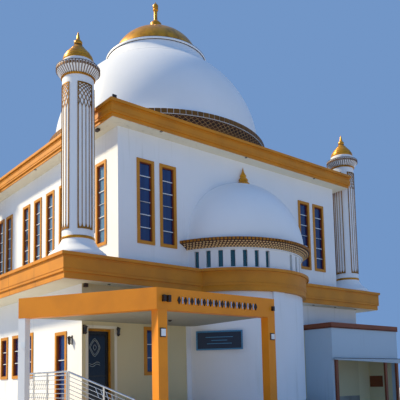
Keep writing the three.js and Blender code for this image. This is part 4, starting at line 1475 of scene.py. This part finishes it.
@dataclass
class Minaret:
    """A round shaft on a bell foot, with four latticed panels, a fluted head and a spire."""

    name: str
    radius: float = 0.46
    segments: int = 72
    head_z: float = 10.50
    panel_z: tuple[float, float] = (6.0, 10.26)
    panel_half: float = 28.0
    bays: int = 4
    flutes: int = 42
    beads: int = 40

    def __post_init__(self) -> None:
        """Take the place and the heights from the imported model."""
        low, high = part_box(f"minaret_{self.name}")
        self.centre = ((low.x + high.x) / 2, (low.y + high.y) / 2)
        self.low, self.high = low.z, high.z
        self.spire_low, self.spire_tip = (v.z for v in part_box(f"minaret_spire_{self.name}"))

    def build(self) -> None:
        """Make every piece of the minaret."""
        self.shaft()
        self.rings()
        self.head()
        self.panels()
        self.spire()

    def piece(self, part: str, patch: Patch, finish: Finish, spire: bool = False) -> None:
        """Make one piece that stands for the shaft's node or the spire's."""
        node = f"minaret_spire_{self.name}" if spire else f"minaret_{self.name}"
        make_piece(f"minaret_{self.name}_{part}", patch, finish, node=node)

    def shaft(self) -> None:
        """The bell foot and the plain shaft, up to the head."""
        z = self.low
        foot = curve_through([(0.842, 0.03), (0.84, 0.08), (0.80, 0.14), (0.71, 0.215),
                              (0.625, 0.285), (0.565, 0.35), (0.52, 0.43), (0.485, 0.495),
                              (0.47, 0.53)], 5, z)
        top = self.head_z + 0.02
        profile = np.vstack([(0.0, z), (0.83, z), (0.842, z + 0.012), foot,
                             (self.radius, z + 0.56), (self.radius, top), (0.0, top)])
        self.piece("shaft", revolve(profile, self.centre, self.segments), WHITE)

    def rings(self) -> None:
        """The gold ring over the foot and the beads under the head."""
        r = self.radius
        ring = closed([(-0.02, 0.54), (0.012, 0.54), (0.02, 0.555), (0.02, 0.605),
                       (0.012, 0.62), (-0.02, 0.62)], r, self.low)
        self.piece("foot_ring", revolve(ring, self.centre, self.segments), GOLD_TRIM)
        out, side = around(np.arange(self.beads) / self.beads * FULL_TURN)
        centre = out * (r + 0.016) + (*self.centre, self.head_z + 0.038)
        studs = blocks(centre, (out + UP) * 0.014, (out - UP) * 0.014, side * 0.025)
        band = closed([(-0.03, 0.0), (0.014, 0.006), (0.014, 0.07), (-0.03, 0.076)], r, self.head_z)
        self.piece("beads", join([revolve(band, self.centre, self.segments), studs]), GOLD_TRIM)

    def head(self) -> None:
        """The ribbed head: its radius swells as the sine of the way up, and dips by a share of
        |sin| of half the rib's turn."""
        z = self.head_z + 0.078
        top = self.high - 0.205
        share = np.linspace(0.0, 1.0, 13)
        swell = 0.475 + 0.165 * np.sin(share * math.pi / 2) ** 0.9
        out = np.stack([swell, z + (top - z) * share], axis=1)
        segments = self.flutes * 6
        turn = np.linspace(0.0, FULL_TURN, segments + 1)[:, None]
        depth = 0.05 * np.clip((0.62 - share) * 5.0, 0.0, 1.0)
        dip = 1.0 - depth[None, :] * np.abs(np.sin(turn * self.flutes / 2))
        profile = np.vstack([out, (0.2, top), (0.2, z), out[:1]])
        shape = np.concatenate([dip, np.ones((segments + 1, 2)), dip[:, :1]], axis=1)
        self.piece("flutes", revolve(profile, self.centre, segments, self.flutes, shape), SHADED_FLUTE)
        ahead, along = around(np.arange(self.flutes) / self.flutes * FULL_TURN)
        centre = ahead * 0.632 + (*self.centre, top - 0.062)
        self.piece("teeth", blocks(centre, ahead * 0.012, along * 0.02, UP * 0.036), OLIVE)
        lip = closed([(0.3, 0.0), (0.637, 0.0), (0.645, 0.006), (0.645, 0.018), (0.637, 0.026),
                      (0.3, 0.026)], z=top)
        self.piece("lip", revolve(lip, self.centre, self.segments), DARK_BAND)
        rim = curve_through([(0.49, top + 0.027), (0.472, top + 0.04), (0.47, self.high - 0.03),
                             (0.462, self.high - 0.006), (0.45, self.high)], 4)
        profile = np.vstack([(0.0, top + 0.027), rim, (0.0, self.high)])
        self.piece("rim", revolve(profile, self.centre, self.segments), WHITE)

    def on_shaft(self, side: Side, s: np.ndarray, z: np.ndarray,
                 out: float = 0.0) -> tuple[np.ndarray, np.ndarray]:
        """Wrap panel places round the shaft: angle = s / radius from the side's direction.

        Args:
            side: The way that the panel faces.
            s: Places across the panel, from its middle.
            z: Heights.
            out: Distance out of the shaft.

        Returns:
            Points and outward directions, each n by 3.
        """
        nx, ny = side.value
        angle = math.atan2(ny, nx) + np.asarray(s, float) / self.radius
        ahead = around(angle)[0]
        rise = np.broadcast_to(z, angle.shape)[..., None] * UP
        return ahead * (self.radius + out) + rise + (*self.centre, 0.0), ahead

    def panels(self) -> None:
        """Four panels: a frame, three ribs on darts, and a net that closes up towards the top."""
        half = math.radians(self.panel_half) * self.radius
        cell = 2 * half / self.bays
        z0, z1 = self.panel_z
        net = z1 - 0.72
        rows = np.array([0.17, 0.13, 0.10, 0.08, 0.065, 0.055, 0.045, 0.04, 0.035])
        level = net + np.concatenate([[0.0], np.cumsum(rows * 0.72 / rows.sum())])
        lines = []
        for k in range(len(rows)):
            s = -half + cell * (np.arange(self.bays + 1) + 0.5 * (k % 2))
            for end in (s - 0.5 * cell, s + 0.5 * cell):
                keep = (np.abs(s) <= half + 1e-6) & (np.abs(end) <= half + 1e-6)
                lines += [(a, level[k], b, level[k + 1]) for a, b in zip(s[keep], end[keep])]
        lines += [(s, z0, s, net) for s in -half + cell * np.arange(1, self.bays)]
        start_s, start_z, end_s, end_z = np.array(lines).T
        patches = []
        for side in Side:
            a, ahead = self.on_shaft(side, start_s, start_z)
            b, other = self.on_shaft(side, end_s, end_z)
            patches.append(bars(a, b, (ahead + other) / 2, 0.019, 0.012))
            patches += self.panel_frame(side, half, z0, z1)
            patches.append(self.darts(side, half, cell, z0))
        self.piece("panels", join(patches), BRONZE)

    def panel_frame(self, side: Side, half: float, z0: float, z1: float) -> list[Patch]:
        """The upright and level bars round one panel.

        Args:
            side: The way that the panel faces.
            half: Half its width.
            z0: Its foot.
            z1: Its head.

        Returns:
            The patches.
        """
        edge = np.array([-half, half])
        a, ahead = self.on_shaft(side, edge, np.array([z0 - 0.03, z0 - 0.03]))
        b, _ = self.on_shaft(side, edge, np.array([z1 + 0.02, z1 + 0.02]))
        upright = bars(a, b, ahead, 0.034, 0.018)
        across = np.linspace(-half, half, 13)
        level = []
        for z, width in ((z0 - 0.005, 0.05), (z1, 0.04)):
            p, normal = self.on_shaft(side, across, np.full(13, z))
            level.append(bars(p[:-1], p[1:], (normal[:-1] + normal[1:]) / 2, width, 0.018))
        return [upright, *level]

    def darts(self, side: Side, half: float, cell: float, z0: float) -> Patch:
        """Pointed darts at the foot of the ribs: slabs that narrow to a point as they rise.

        Args:
            side: The way that the panel faces.
            half: Half its width.
            cell: From rib to rib.
            z0: Its foot.

        Returns:
            The patch.
        """
        s = -half + cell * np.arange(1, self.bays)
        s = np.concatenate([[-half + 0.015], s, [half - 0.015]])
        width = np.array([0.03, *([0.042] * (self.bays - 1)), 0.03])
        share = np.linspace(0.0, 1.0, 5)
        across = s[:, None, None] + np.array([-1.0, 1.0])[None, :, None] * (
            width[:, None, None] * (1.0 - share)[None, None, :] ** 1.4)
        z = np.broadcast_to((z0 + 0.17 * share)[None, None, :], across.shape)
        front, _ = self.on_shaft(side, across, z, 0.016)
        back, _ = self.on_shaft(side, across, z, -0.01)
        ring = np.stack([front[:, 0], front[:, 1], back[:, 1], back[:, 0], front[:, 0]], axis=1)
        return join([grid(one) for one in ring])

    def spire(self) -> None:
        """The gold spire: a bell in tiers with dark beads of painted shade in the creases between
        them, a small bulb and a spike.
        """
        z, tip = self.spire_low, self.spire_tip
        tiers = [(0.435, 0.00), (0.45, 0.02), (0.452, 0.085), (0.428, 0.10), (0.437, 0.12),
                 (0.42, 0.18), (0.38, 0.20), (0.385, 0.222), (0.352, 0.285), (0.31, 0.30),
                 (0.312, 0.32), (0.272, 0.375), (0.235, 0.39), (0.236, 0.412), (0.196, 0.465),
                 (0.16, 0.49), (0.125, 0.54), (0.108, 0.58), (0.122, 0.615), (0.125, 0.65),
                 (0.11, 0.69), (0.07, 0.735), (0.052, 0.78), (0.042, 0.85), (0.02, 0.95)]
        line = curve_through([*tiers, (0.0, tip - z)], 4, z)
        profile = np.vstack([(0.0, z), line])
        self.piece("tiers", revolve(profile, self.centre, 48), GOLD, spire=True)
        # Dark beads at the breaks between tiers: painted shade in the creases.
        crease_shade = [(0.436, 0.094), (0.398, 0.190), (0.330, 0.292), (0.252, 0.383), (0.176, 0.478),
                   (0.115, 0.575)]
        lines = [revolve(round_bead(r, z + dz, 0.009, 6), self.centre, 48) for r, dz in crease_shade]
        self.piece("spire_crease_shade", join(lines), DARK_BAND, spire=True)


# Entrance canopy


@dataclass
class Canopy:
    """The skewed canopy: painted beams and posts, a row of ornaments and small fittings."""

    corner: tuple[float, float] = (-6.13, -8.47)
    right: tuple[float, float] = (-2.14, -8.49)
    left: tuple[float, float] = (-8.09, -5.02)
    soffit: float = 3.35
    top: float = 3.88
    beam: float = 0.25

    def __post_init__(self) -> None:
        """Work out the directions along and out of the front beam and the left beam."""
        a = np.array([*self.corner, 0.0])
        b = np.array([*self.right, 0.0])
        c = np.array([*self.left, 0.0])
        self.origin = a
        self.front_run = (b - a) / np.linalg.norm(b - a)
        self.front_out = np.cross(self.front_run, UP)
        self.left_run = (c - a) / np.linalg.norm(c - a)
        self.left_out = -np.cross(self.left_run, UP)

    def build(self) -> None:
        """Dress the beams, the posts and the slab, and add their fittings."""
        paint_nodes(["canopy_beam_left", "canopy_post_corner", "canopy_post_right"], ORANGE)
        paint_nodes(["canopy_post_left"], WHITE)
        # The slab's grey underside is painted shade.
        paint_nodes(["canopy_slab"], SHADED_CEILING)
        self.front_beam()
        self.ornaments()
        self.fittings()
        self.edges()

    def front_beam(self) -> None:
        """The painted front beam. Its left end is mitred against the left beam."""
        a, b = np.array(self.corner), np.array(self.right)
        u, v = self.front_run[:2], self.left_run[:2]
        inner = a + (u + v) * self.beam / (u[0] * v[1] - u[1] * v[0])
        inward = -self.front_out[:2]
        plan = [a + u * 0.001, b, b + inward * self.beam, inner + u * 0.001]
        make_piece("canopy_front_beam", slab(plan, self.soffit, self.top), ORANGE,
                   node="canopy_beam_front")

    def front_blocks(self, spans: list[tuple[float, float, float, float, float]]) -> Patch:
        """Boxes on the front beam's face.

        Args:
            spans: For each, its middle along, its middle z, its width, height and depth.

        Returns:
            The patch.
        """
        a = np.array(spans, float)
        centre = (self.origin + self.front_run * a[:, 0:1] + UP * a[:, 1:2]
                  + self.front_out * a[:, 4:5] / 2)
        return blocks(centre, self.front_out * a[:, 4:5] / 2, self.front_run * a[:, 2:3] / 2,
                      UP * a[:, 3:4] / 2)

    def ornaments(self) -> None:
        """A row of plain cast lozenges and studs in turn along the front beam."""
        place = np.linspace(0.66, 3.25, 27)
        z = 3.605
        centre = self.origin + place[:, None] * self.front_run + UP * z
        wide, high = self.front_run * 0.05, UP * 0.095
        tall = centre[::2]
        small = centre[1::2]
        lozenge = blocks(tall + self.front_out * 0.012, self.front_out * 0.014,
                         (wide + high) / 2, (wide - high) / 2)
        stud = blocks(small + self.front_out * 0.012, self.front_out * 0.014,
                      self.front_run * 0.018, UP * 0.08)
        make_piece("canopy_lozenges", lozenge, LANTERN)
        make_piece("canopy_studs", stud, STEEL)

    def fittings(self) -> None:
        """Lamps on the beam, switch boxes on the posts and a round lamp under the slab."""
        dark = [(0.19, 3.62, 0.075, 0.155, 0.088), (0.33, 3.62, 0.08, 0.16, 0.088),
                (3.90, 3.60, 0.07, 0.12, 0.07)]
        make_piece("canopy_spot_lamps", self.front_blocks(dark), LANTERN)
        pale = [(0.16, 2.80, 0.12, 0.17, 0.05), (3.86, 2.82, 0.11, 0.14, 0.05),
                (3.96, 3.60, 0.05, 0.10, 0.07)]
        make_piece("canopy_switch_boxes", self.front_blocks(pale), BAR)
        rims = [(0.16, 2.80, 0.16, 0.22, 0.02), (3.86, 2.82, 0.15, 0.19, 0.02)]
        make_piece("canopy_switch_backs", self.front_blocks(rims), LANTERN)
        box = self.origin + self.left_run * 3.80 + UP * 2.66 + self.left_out * 0.015
        make_piece("canopy_left_switch",
                   blocks(box, self.left_out * 0.015, self.left_run * 0.065, UP * 0.075), BAR)
        bowl = np.array([[0.0, -0.05], [0.03, -0.045], [0.05, -0.03], [0.055, -0.008],
                         [0.055, 0.008], [0.0, 0.008]])
        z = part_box("canopy_slab")[0].z
        make_piece("canopy_ceiling_lamp", revolve(bowl + (0.0, z), (-4.24, -6.43), 24), LANTERN)

    def edges(self) -> None:
        """Fine drip beads along the lower edges of both beams."""
        foot = self.origin + UP * (self.soffit + 0.012)
        beads = [blocks(foot + run * length / 2, out * 0.006, run * (length / 2 - 0.01), UP * 0.010)
                 for run, out, length in ((self.front_run, self.front_out, 3.98),
                                          (self.left_run, self.left_out, 3.96))]
        make_piece("canopy_drip_beads", join(beads), ORANGE)


# Entrance door and the front wall


@dataclass
class Entrance:
    """The door, its surround and lanterns, and the walls of the ground storey."""

    architrave: float = 0.08

    def build(self) -> None:
        """Dress the walls and make the door's parts."""
        paint_nodes(["ground_wall_over_door", "ground_wall_front_left"], CREAM)
        paint_nodes(["ground_wall_door_side"], CORNER_WALL)
        paint_nodes(["ground_wall_front_right"], OVER_ANNEX)
        paint_nodes(["ground_wall_left", "ground_wall_right", "ground_wall_back",
                     "upper_wall_front", "upper_wall_back", "upper_wall_left",
                     "upper_wall_right"], WHITE)
        paint_nodes(["plinth", "gallery_floor", "roof_slab"], CONCRETE)
        paint_nodes(["door_frame"], GOLD_TRIM)
        paint_nodes(["entrance_door"], LEAF_FRAME)
        self.surround()
        self.leaf()
        self.lanterns()
        self.strips()
        self.board()

    def surround(self) -> None:
        """A pale flat moulding round the doorway."""
        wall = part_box("ground_wall_over_door")[0]
        x0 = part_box("ground_wall_door_side")[1].x
        x1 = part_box("ground_wall_front_left")[0].x
        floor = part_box("plinth")[1].z
        top = wall.z
        y0, y1 = wall.y - 0.022, wall.y - 0.001
        w = self.architrave
        low = [(x0 - w, y0, floor), (x1, y0, floor), (x0, y0, top)]
        high = [(x0, y1, top + w), (x1 + w, y1, top + w), (x1, y1, top + w)]
        make_piece("door_surround", boxes(low, high), SOFFIT)

    def leaf(self) -> None:
        """Glass, an etched double lozenge, rails and pulls on the door."""
        low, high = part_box("entrance_door")
        y = low.y
        x0, x1, z0, z1 = low.x, high.x - 0.005, low.z + 0.01, high.z
        edge = 0.075
        front, back = y - 0.012, y - CLEAR
        glass = boxes([(x0 + edge, y - 0.003, z0 + 0.16)], [(x1 - edge, back, z1 - edge)])
        make_piece("door_glass", glass, LEAF_GLASS, DOOR)
        rails = boxes([(x0, front, z0), (x1 - edge, front, z0), (x0 + edge, front, z1 - edge),
                       (x0 + edge, front, z0), (x0 + edge, front + 0.002, z0 + 0.86)],
                      [(x0 + edge, back, z1), (x1, back, z1), (x1 - edge, back, z1),
                       (x1 - edge, back, z0 + 0.16), (x1 - edge, back, z0 + 0.90)])
        make_piece("door_rails", rails, LEAF_FRAME, DOOR)
        middle = np.array([(x0 + x1) / 2 - 0.07, y - 0.004, z0 + 1.70])
        # An outline between a lozenge and an ellipse: |x / w|^1.3 + |z / h|^1.3 = 1.
        t = np.linspace(0.0, FULL_TURN, 33)
        wave = np.stack([np.cos(t), np.zeros_like(t), np.sin(t)], axis=1)
        outline = np.sign(wave) * np.abs(wave) ** (2.0 / 1.3)
        lines = [middle + outline * np.array([width, 1.0, height])
                 for width, height in ((0.17, 0.26), (0.135, 0.205), (0.05, 0.08))]
        s = np.linspace(-1.0, 1.0, 17)
        curl = np.stack([0.17 * s, 0.0 * s, 0.035 * np.sin(s * math.pi) - 0.45], axis=1)
        lines += [middle + curl, middle + curl - UP * 0.06]
        patches = []
        for line in lines:
            normal = np.tile([0.0, -1.0, 0.0], (len(line) - 1, 1))
            patches.append(bars(line[:-1], line[1:], normal, 0.012, 0.002))
        make_piece("door_lozenge", join(patches), ETCHED, DOOR)
        pull = np.array([[0.0, -0.011, 0.95], [0.0, -0.05, 0.955], [0.0, -0.055, 1.0],
                         [0.0, -0.055, 1.25], [0.0, -0.05, 1.295], [0.0, -0.011, 1.30]])
        make_piece("door_pull", tube(pull + (x0 + 0.045, y, z0), 0.011), STEEL, DOOR)

    def lanterns(self) -> None:
        """A dark lantern at either side of the door, one round the corner, and a lamp above."""
        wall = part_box("ground_wall_over_door")[0].y
        body, glass = [], []
        cap = closed([(0.0001, 0.13), (0.02, 0.12), (0.07, 0.085), (0.07, 0.07), (0.0001, 0.07)])
        foot = closed([(0.0001, -0.14), (0.015, -0.13), (0.05, -0.09), (0.055, -0.07),
                       (0.0001, -0.07)])
        lens = closed([(0.0001, -0.07), (0.043, -0.07), (0.055, 0.07), (0.0001, 0.07)])
        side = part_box("ground_wall_left")[0].x
        # The plate on the wall and the arm, from the lantern's place on a wall that faces -Y.
        low = np.array([[-0.035, -0.012, -0.12], [-0.012, -0.08, 0.07]])
        high = np.array([[0.035, -CLEAR, 0.14], [0.012, -0.01, 0.10]])
        along_x, along_y = [0, 1, 2], [1, 0, 2]
        for x, y, z, order in ((-6.235, wall, 3.13, along_x), (-5.17, wall, 3.11, along_x),
                               (side, -4.53, 2.87, along_y)):
            centre = np.array([x, y]) - np.array([0.0, 0.09])[order[:2]]
            for part, lantern in ((cap, body), (foot, body), (lens, glass)):
                lantern.append(revolve(part + (0.0, z), tuple(centre), 6))
            body.append(boxes(low[:, order] + (x, y, z), high[:, order] + (x, y, z)))
        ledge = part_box("ledge_cornice_left")[0].z - 0.014
        body.append(boxes([(-6.25, wall - 0.10, ledge - 0.10)], [(-6.15, wall - CLEAR, ledge)]))
        make_piece("lantern_bodies", join(body), LANTERN, smooth=20)
        make_piece("lantern_glasses", join(glass), LEAF_GLASS, smooth=20)

    def strips(self) -> None:
        """The shallow pilaster strip where the front wall meets the bay."""
        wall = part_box("ground_wall_front_left")
        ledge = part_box("ledge_cornice_front_left")[0].z - 0.014
        y = wall[0].y
        low = [(-2.64, y - 0.04, wall[0].z)]
        high = [(-2.40, y - CLEAR, ledge)]
        make_piece("wall_strip", boxes(low, high), WHITE)

    def board(self) -> None:
        """A plain framed board on the bay, flat between two upright battens."""
        a = np.array([-2.38, -5.335, 0.0])
        b = np.array([-1.44, -6.465, 0.0])
        run = (b - a) / np.linalg.norm(b - a)
        out = np.cross(run, UP)
        middle = (a + b) / 2 + out * 0.145
        half = np.linalg.norm(b - a) / 2
        z, tall = 2.90, 0.30

        def plate(s: float, dz: float, width: float, height: float, front: float,
                  depth: float) -> Patch:
            """One flat plate by its middle along and up, its size, and its front face."""
            centre = middle + run * s + UP * (z + dz) + out * (front - depth / 2)
            return blocks(centre, out * depth / 2, run * width / 2, UP * height / 2)

        make_piece("board_face", plate(0, 0, 2 * half, 2 * tall, 0.0, 0.03), NAVY)
        edge = 0.045
        border = [plate(0, tall - edge / 2, 2 * half, edge, 0.006, 0.012),
                  plate(0, edge / 2 - tall, 2 * half, edge, 0.006, 0.012),
                  plate(half - edge / 2, 0, edge, 2 * tall - 2 * edge, 0.006, 0.012),
                  plate(edge / 2 - half, 0, edge, 2 * tall - 2 * edge, 0.006, 0.012)]
        lines = [plate(0, dz, width, 0.022, 0.003, 0.008)
                 for dz, width in ((0.10, 0.86), (0.0, 0.5), (-0.10, 0.78))]
        make_piece("board_border", join(border + lines), BOARD_EDGE)
        battens = [plate(s, 0, 0.05, 2 * tall - 0.08, -0.03, 0.10) for s in (-0.28, 0.28)]
        make_piece("board_battens", join(battens), LANTERN)


# Porch


@dataclass
class Porch:
    """The tiled porch and steps, with the steel railing."""

    rail: float = 0.025
    bar: float = 0.011
    slant: float = 0.008
    floor: float = 0.95
    rise: float = 0.95 / 6
    tread: float = 0.36
    first_riser: float = -6.33

    def build(self) -> None:
        """Dress the tiles and make the railings."""
        paint_nodes(["porch_platform", "entrance_steps"], TILE)
        self.porch_rail()
        self.step_rail()

    def post(self, x: float, y: float, foot: float, top: float) -> Patch:
        """A round post with a flange at its foot and a small ball on top.

        Args:
            x: Where it stands.
            y: Where it stands.
            foot: Height of its foot.
            top: Height of its top.

        Returns:
            The patch.
        """
        r = self.rail * 0.95
        wide = r * 1.15
        line = [(0.0, foot), (0.055, foot), (0.055, foot + 0.008), (0.03, foot + 0.014),
                (r, foot + 0.02), (r, top - 0.03), (wide, top - 0.025), (wide, top - 0.012),
                (r, top - 0.006), (r * 0.7, top - 0.002), (0.0, top)]
        return revolve(np.array(line), (x, y), 16)

    def porch_rail(self) -> None:
        """The level railing: posts, a top rail, a second one close below, thin rails, and two
        rows of slanted bars at its far half."""
        low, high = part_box("porch_railing")
        x = (low.x + high.x) / 2
        y0, y1 = low.y + 0.024, high.y - 0.024
        top = high.z - 0.012
        rails = [(top, self.rail, 16), (top - 0.085, 0.017, 12)]
        rails += [(top - 0.085 - 0.115 * k, self.bar * 0.8, 8) for k in range(1, 7)]
        parts = [tube(np.array([[x, y0, z], [x, y1, z]]), radius, sides)
                 for z, radius, sides in rails]
        parts += [self.post(x, y, low.z, high.z) for y in (y0, -5.16, -4.30, y1)]
        for a in np.arange(-5.25, y1 - 0.3, 0.13):
            for start, end in ((0.20, 0.43), (0.55, 0.775)):
                line = np.array([[x, a, top - start], [x, a + 0.12, top - end]])
                parts.append(tube(line, self.slant, 8))
        make_piece("porch_rail_tubes", join(parts), STEEL, node="porch_railing")

    def step_rail(self) -> None:
        """The sloping railing down the steps' open edge."""
        ys = np.array([-6.36, -7.23, -7.95])
        line = np.stack([self.edge(ys), ys, self.rail_height(ys)], axis=1)
        rows = [tube(line[[0, 2]], self.rail, 16)]
        for k in range(1, 8):
            rows.append(tube(line[[0, 2]] - UP * 0.105 * k, self.bar * 0.8, 8))
        for share in (0.42, 0.50, 0.58, 0.66):
            foot = line[0] + (line[2] - line[0]) * share
            for high_z, low_z in ((0.105, 0.315), (0.42, 0.63)):
                pair = [foot - UP * high_z, foot + (line[2] - line[0]) * 0.05 - UP * low_z]
                rows.append(tube(np.array(pair), self.slant, 8))
        posts = [self.post(x, y, self.foot_height(y), z + 0.012) for x, y, z in line]
        make_piece("steps_rail_tubes", join(rows + posts), STEEL, node="steps_railing")

    def edge(self, y: float) -> float:
        """The x of the railing over the steps' skewed left edge."""
        (x0, y0), (x1, y1) = Canopy.corner, Canopy.left
        return x0 + (x1 - x0) / (y1 - y0) * (y - y0) - 0.01

    def rail_height(self, y: float) -> float:
        """The top rail's height over the flight, which falls one riser in each tread."""
        return self.floor + 0.98 + self.rise / self.tread * (y - self.first_riser + 0.03)

    def foot_height(self, y: float) -> float:
        """The tread's height under a place on the flight."""
        step = min(max(math.ceil((self.first_riser - y) / self.tread), 1), 5)
        return self.floor - self.rise * step + 0.001


# Annex


@dataclass
class Annex:
    """The low annex: painted walls, a brown roof edge and a visor on posts at its open front."""

    bays: tuple[float, float, float] = (3.134, 6.19, 6.96)
    post: float = 0.125

    def build(self) -> None:
        """Dress the annex and add its fine parts."""
        paint_nodes(["annex_walls"], ANNEX_WALL)
        paint_nodes(["annex_roof"], BROWN)
        self.posts()
        self.visor()
        self.edge()
        self.board()

    def posts(self) -> None:
        """Three square brown posts before the opening, with a plate on each foot."""
        low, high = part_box("lean_to")
        y0, y1 = high.y - 0.08, high.y
        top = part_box("annex_walls")[0].z + 2.34
        start = [(x, y0, low.z) for x in self.bays]
        end = [(x + self.post, y1, top) for x in self.bays]
        make_piece("annex_posts", boxes(start, end), BROWN, node="lean_to")
        plates = boxes([(x - 0.02, y0 - 0.02, low.z) for x in self.bays],
                       [(x + self.post + 0.02, y1, low.z + 0.012) for x in self.bays])
        make_piece("annex_post_plates", plates, LANTERN)

    def visor(self) -> None:
        """The thin visor over the opening. The lower edge of its lip falls to the right."""
        low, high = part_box("lean_to")
        top = high.z
        sheet = boxes([(low.x, low.y + 0.03, top - 0.035)], [(high.x, high.y, top)])
        plan = [(low.x, low.y), (high.x, low.y), (high.x, low.y + 0.03), (low.x, low.y + 0.03)]
        lip = slab(plan, low.z, top)
        share = (lip.points[:4, 0] - low.x) / (high.x - low.x)
        lip.points[:4, 2] = top - 0.04 - 0.125 * share
        make_piece("annex_visor", join([sheet, lip]), SHEET, node="lean_to")
        trim = boxes([(low.x, low.y + 0.002, top + CLEAR)], [(high.x, low.y + 0.05, top + 0.022)])
        make_piece("annex_visor_trim", trim, LANTERN)

    def edge(self) -> None:
        """A fine bead along the lower edge of the roof's brown face."""
        low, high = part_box("annex_roof")
        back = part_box("ground_wall_front_right")[0].y
        z = low.z + 0.02
        bead = boxes([(low.x, low.y, z), (low.x, low.y, z)],
                     [(high.x, low.y + 0.004, z + 0.02), (low.x + 0.004, back, z + 0.02)])
        make_piece("annex_roof_bead", bead, BROWN)

    def board(self) -> None:
        """A plain brown board on the right inner wall of the annex."""
        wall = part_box("annex_walls")[1].x - 0.18
        plate = boxes([(wall - 0.025, -5.75, 1.28)], [(wall - 0.001, -5.15, 1.73)])
        make_piece("annex_board", plate, BROWN)


# Studio


@dataclass
class Studio:
    """The camera at the photograph's place, the floor and the soft lights."""

    place: tuple[float, float, float] = (-14.187, -19.874, 1.6)
    yaw: float = 39.408
    pitch: float = 5.799
    roll: float = -1.181
    focal_pixels: float = 594.0
    picture: float = 400.0
    optical_centre: tuple[float, float] = (200.0, 322.27)
    floor_size: float = 160.0
    sun: float = 5.6
    sun_colour: str = "#ffedc8"
    sun_turn: float = 141.0
    sun_height: float = 40.0
    sun_width: float = 6.0
    sky: float = 0.62
    sky_colour: str = "#8ebaf6"

    def build(self) -> None:
        """Make the camera, the floor and the lights."""
        self.camera()
        self.floor()
        self.lights()

    def camera(self) -> None:
        """Aim the camera by yaw from +Y towards +X, pitch up and roll."""
        yaw, pitch, roll = (math.radians(v) for v in (self.yaw, self.pitch, self.roll))
        ahead = np.array([math.sin(yaw) * math.cos(pitch), math.cos(yaw) * math.cos(pitch),
                          math.sin(pitch)])
        level = np.array([math.cos(yaw), -math.sin(yaw), 0.0])
        up = np.cross(level, ahead)
        right = level * math.cos(roll) + up * math.sin(roll)
        over = -level * math.sin(roll) + up * math.cos(roll)
        data = bpy.data.cameras.new("camera")
        data.sensor_width = 36.0
        data.lens = self.focal_pixels / self.picture * data.sensor_width
        data.shift_x = (self.picture / 2 - self.optical_centre[0]) / self.picture
        data.shift_y = (self.optical_centre[1] - self.picture / 2) / self.picture
        data.clip_end = 400.0
        camera = bpy.data.objects.new("camera", data)
        turn = np.eye(4)
        turn[:3, 0], turn[:3, 1], turn[:3, 2], turn[:3, 3] = right, over, -ahead, self.place
        camera.matrix_world = Matrix(turn.tolist())
        bpy.context.scene.collection.objects.link(camera)
        bpy.context.scene.camera = camera

    def floor(self) -> None:
        """A wide pale floor just under the building."""
        half = self.floor_size / 2
        mesh = bpy.data.meshes.new("studio_floor")
        mesh.from_pydata([(-half, -half, 0), (half, -half, 0), (half, half, 0), (-half, half, 0)],
                         [], [(0, 1, 2, 3)])
        mesh.materials.append(FLOOR.material())
        plane = bpy.data.objects.new("studio_floor", mesh)
        bpy.context.scene.collection.objects.link(plane)

    def lights(self) -> None:
        """A broad warm key from the left and a pale sky all round."""
        data = bpy.data.lights.new("key", "SUN")
        data.energy = self.sun
        data.angle = math.radians(self.sun_width)
        data.color = linear(self.sun_colour)[:3]
        key = bpy.data.objects.new("key", data)
        turn, height = math.radians(self.sun_turn), math.radians(self.sun_height)
        toward = np.array([-math.sin(turn) * math.cos(height), -math.cos(turn) * math.cos(height),
                           math.sin(height)])
        side = np.cross(UP, toward)
        side /= np.linalg.norm(side)
        basis = np.eye(4)
        basis[:3, 0], basis[:3, 1], basis[:3, 2] = side, np.cross(toward, side), toward
        key.matrix_world = Matrix(basis.tolist())
        bpy.context.scene.collection.objects.link(key)
        world = bpy.data.worlds.new("soft sky")
        world.use_nodes = True
        sky = world.node_tree.nodes["Background"]
        sky.inputs["Color"].default_value = linear(self.sky_colour)
        sky.inputs["Strength"].default_value = self.sky
        bpy.context.scene.world = world
        bpy.context.scene.view_settings.view_transform = "Standard"


def main() -> None:
    """Build the studio and every part of the building, in order."""
    logging.basicConfig(level=logging.INFO, format="%(name)s %(message)s")
    Studio().build()
    MainDome().build()
    Cornices().build()
    Windows().build()
    Bay().build()
    for name in ("front_left", "front_right", "back_left", "back_right"):
        Minaret(name).build()
    Canopy().build()
    Entrance().build()
    Porch().build()
    Annex().build()


if __name__ == "__main__":
    main()
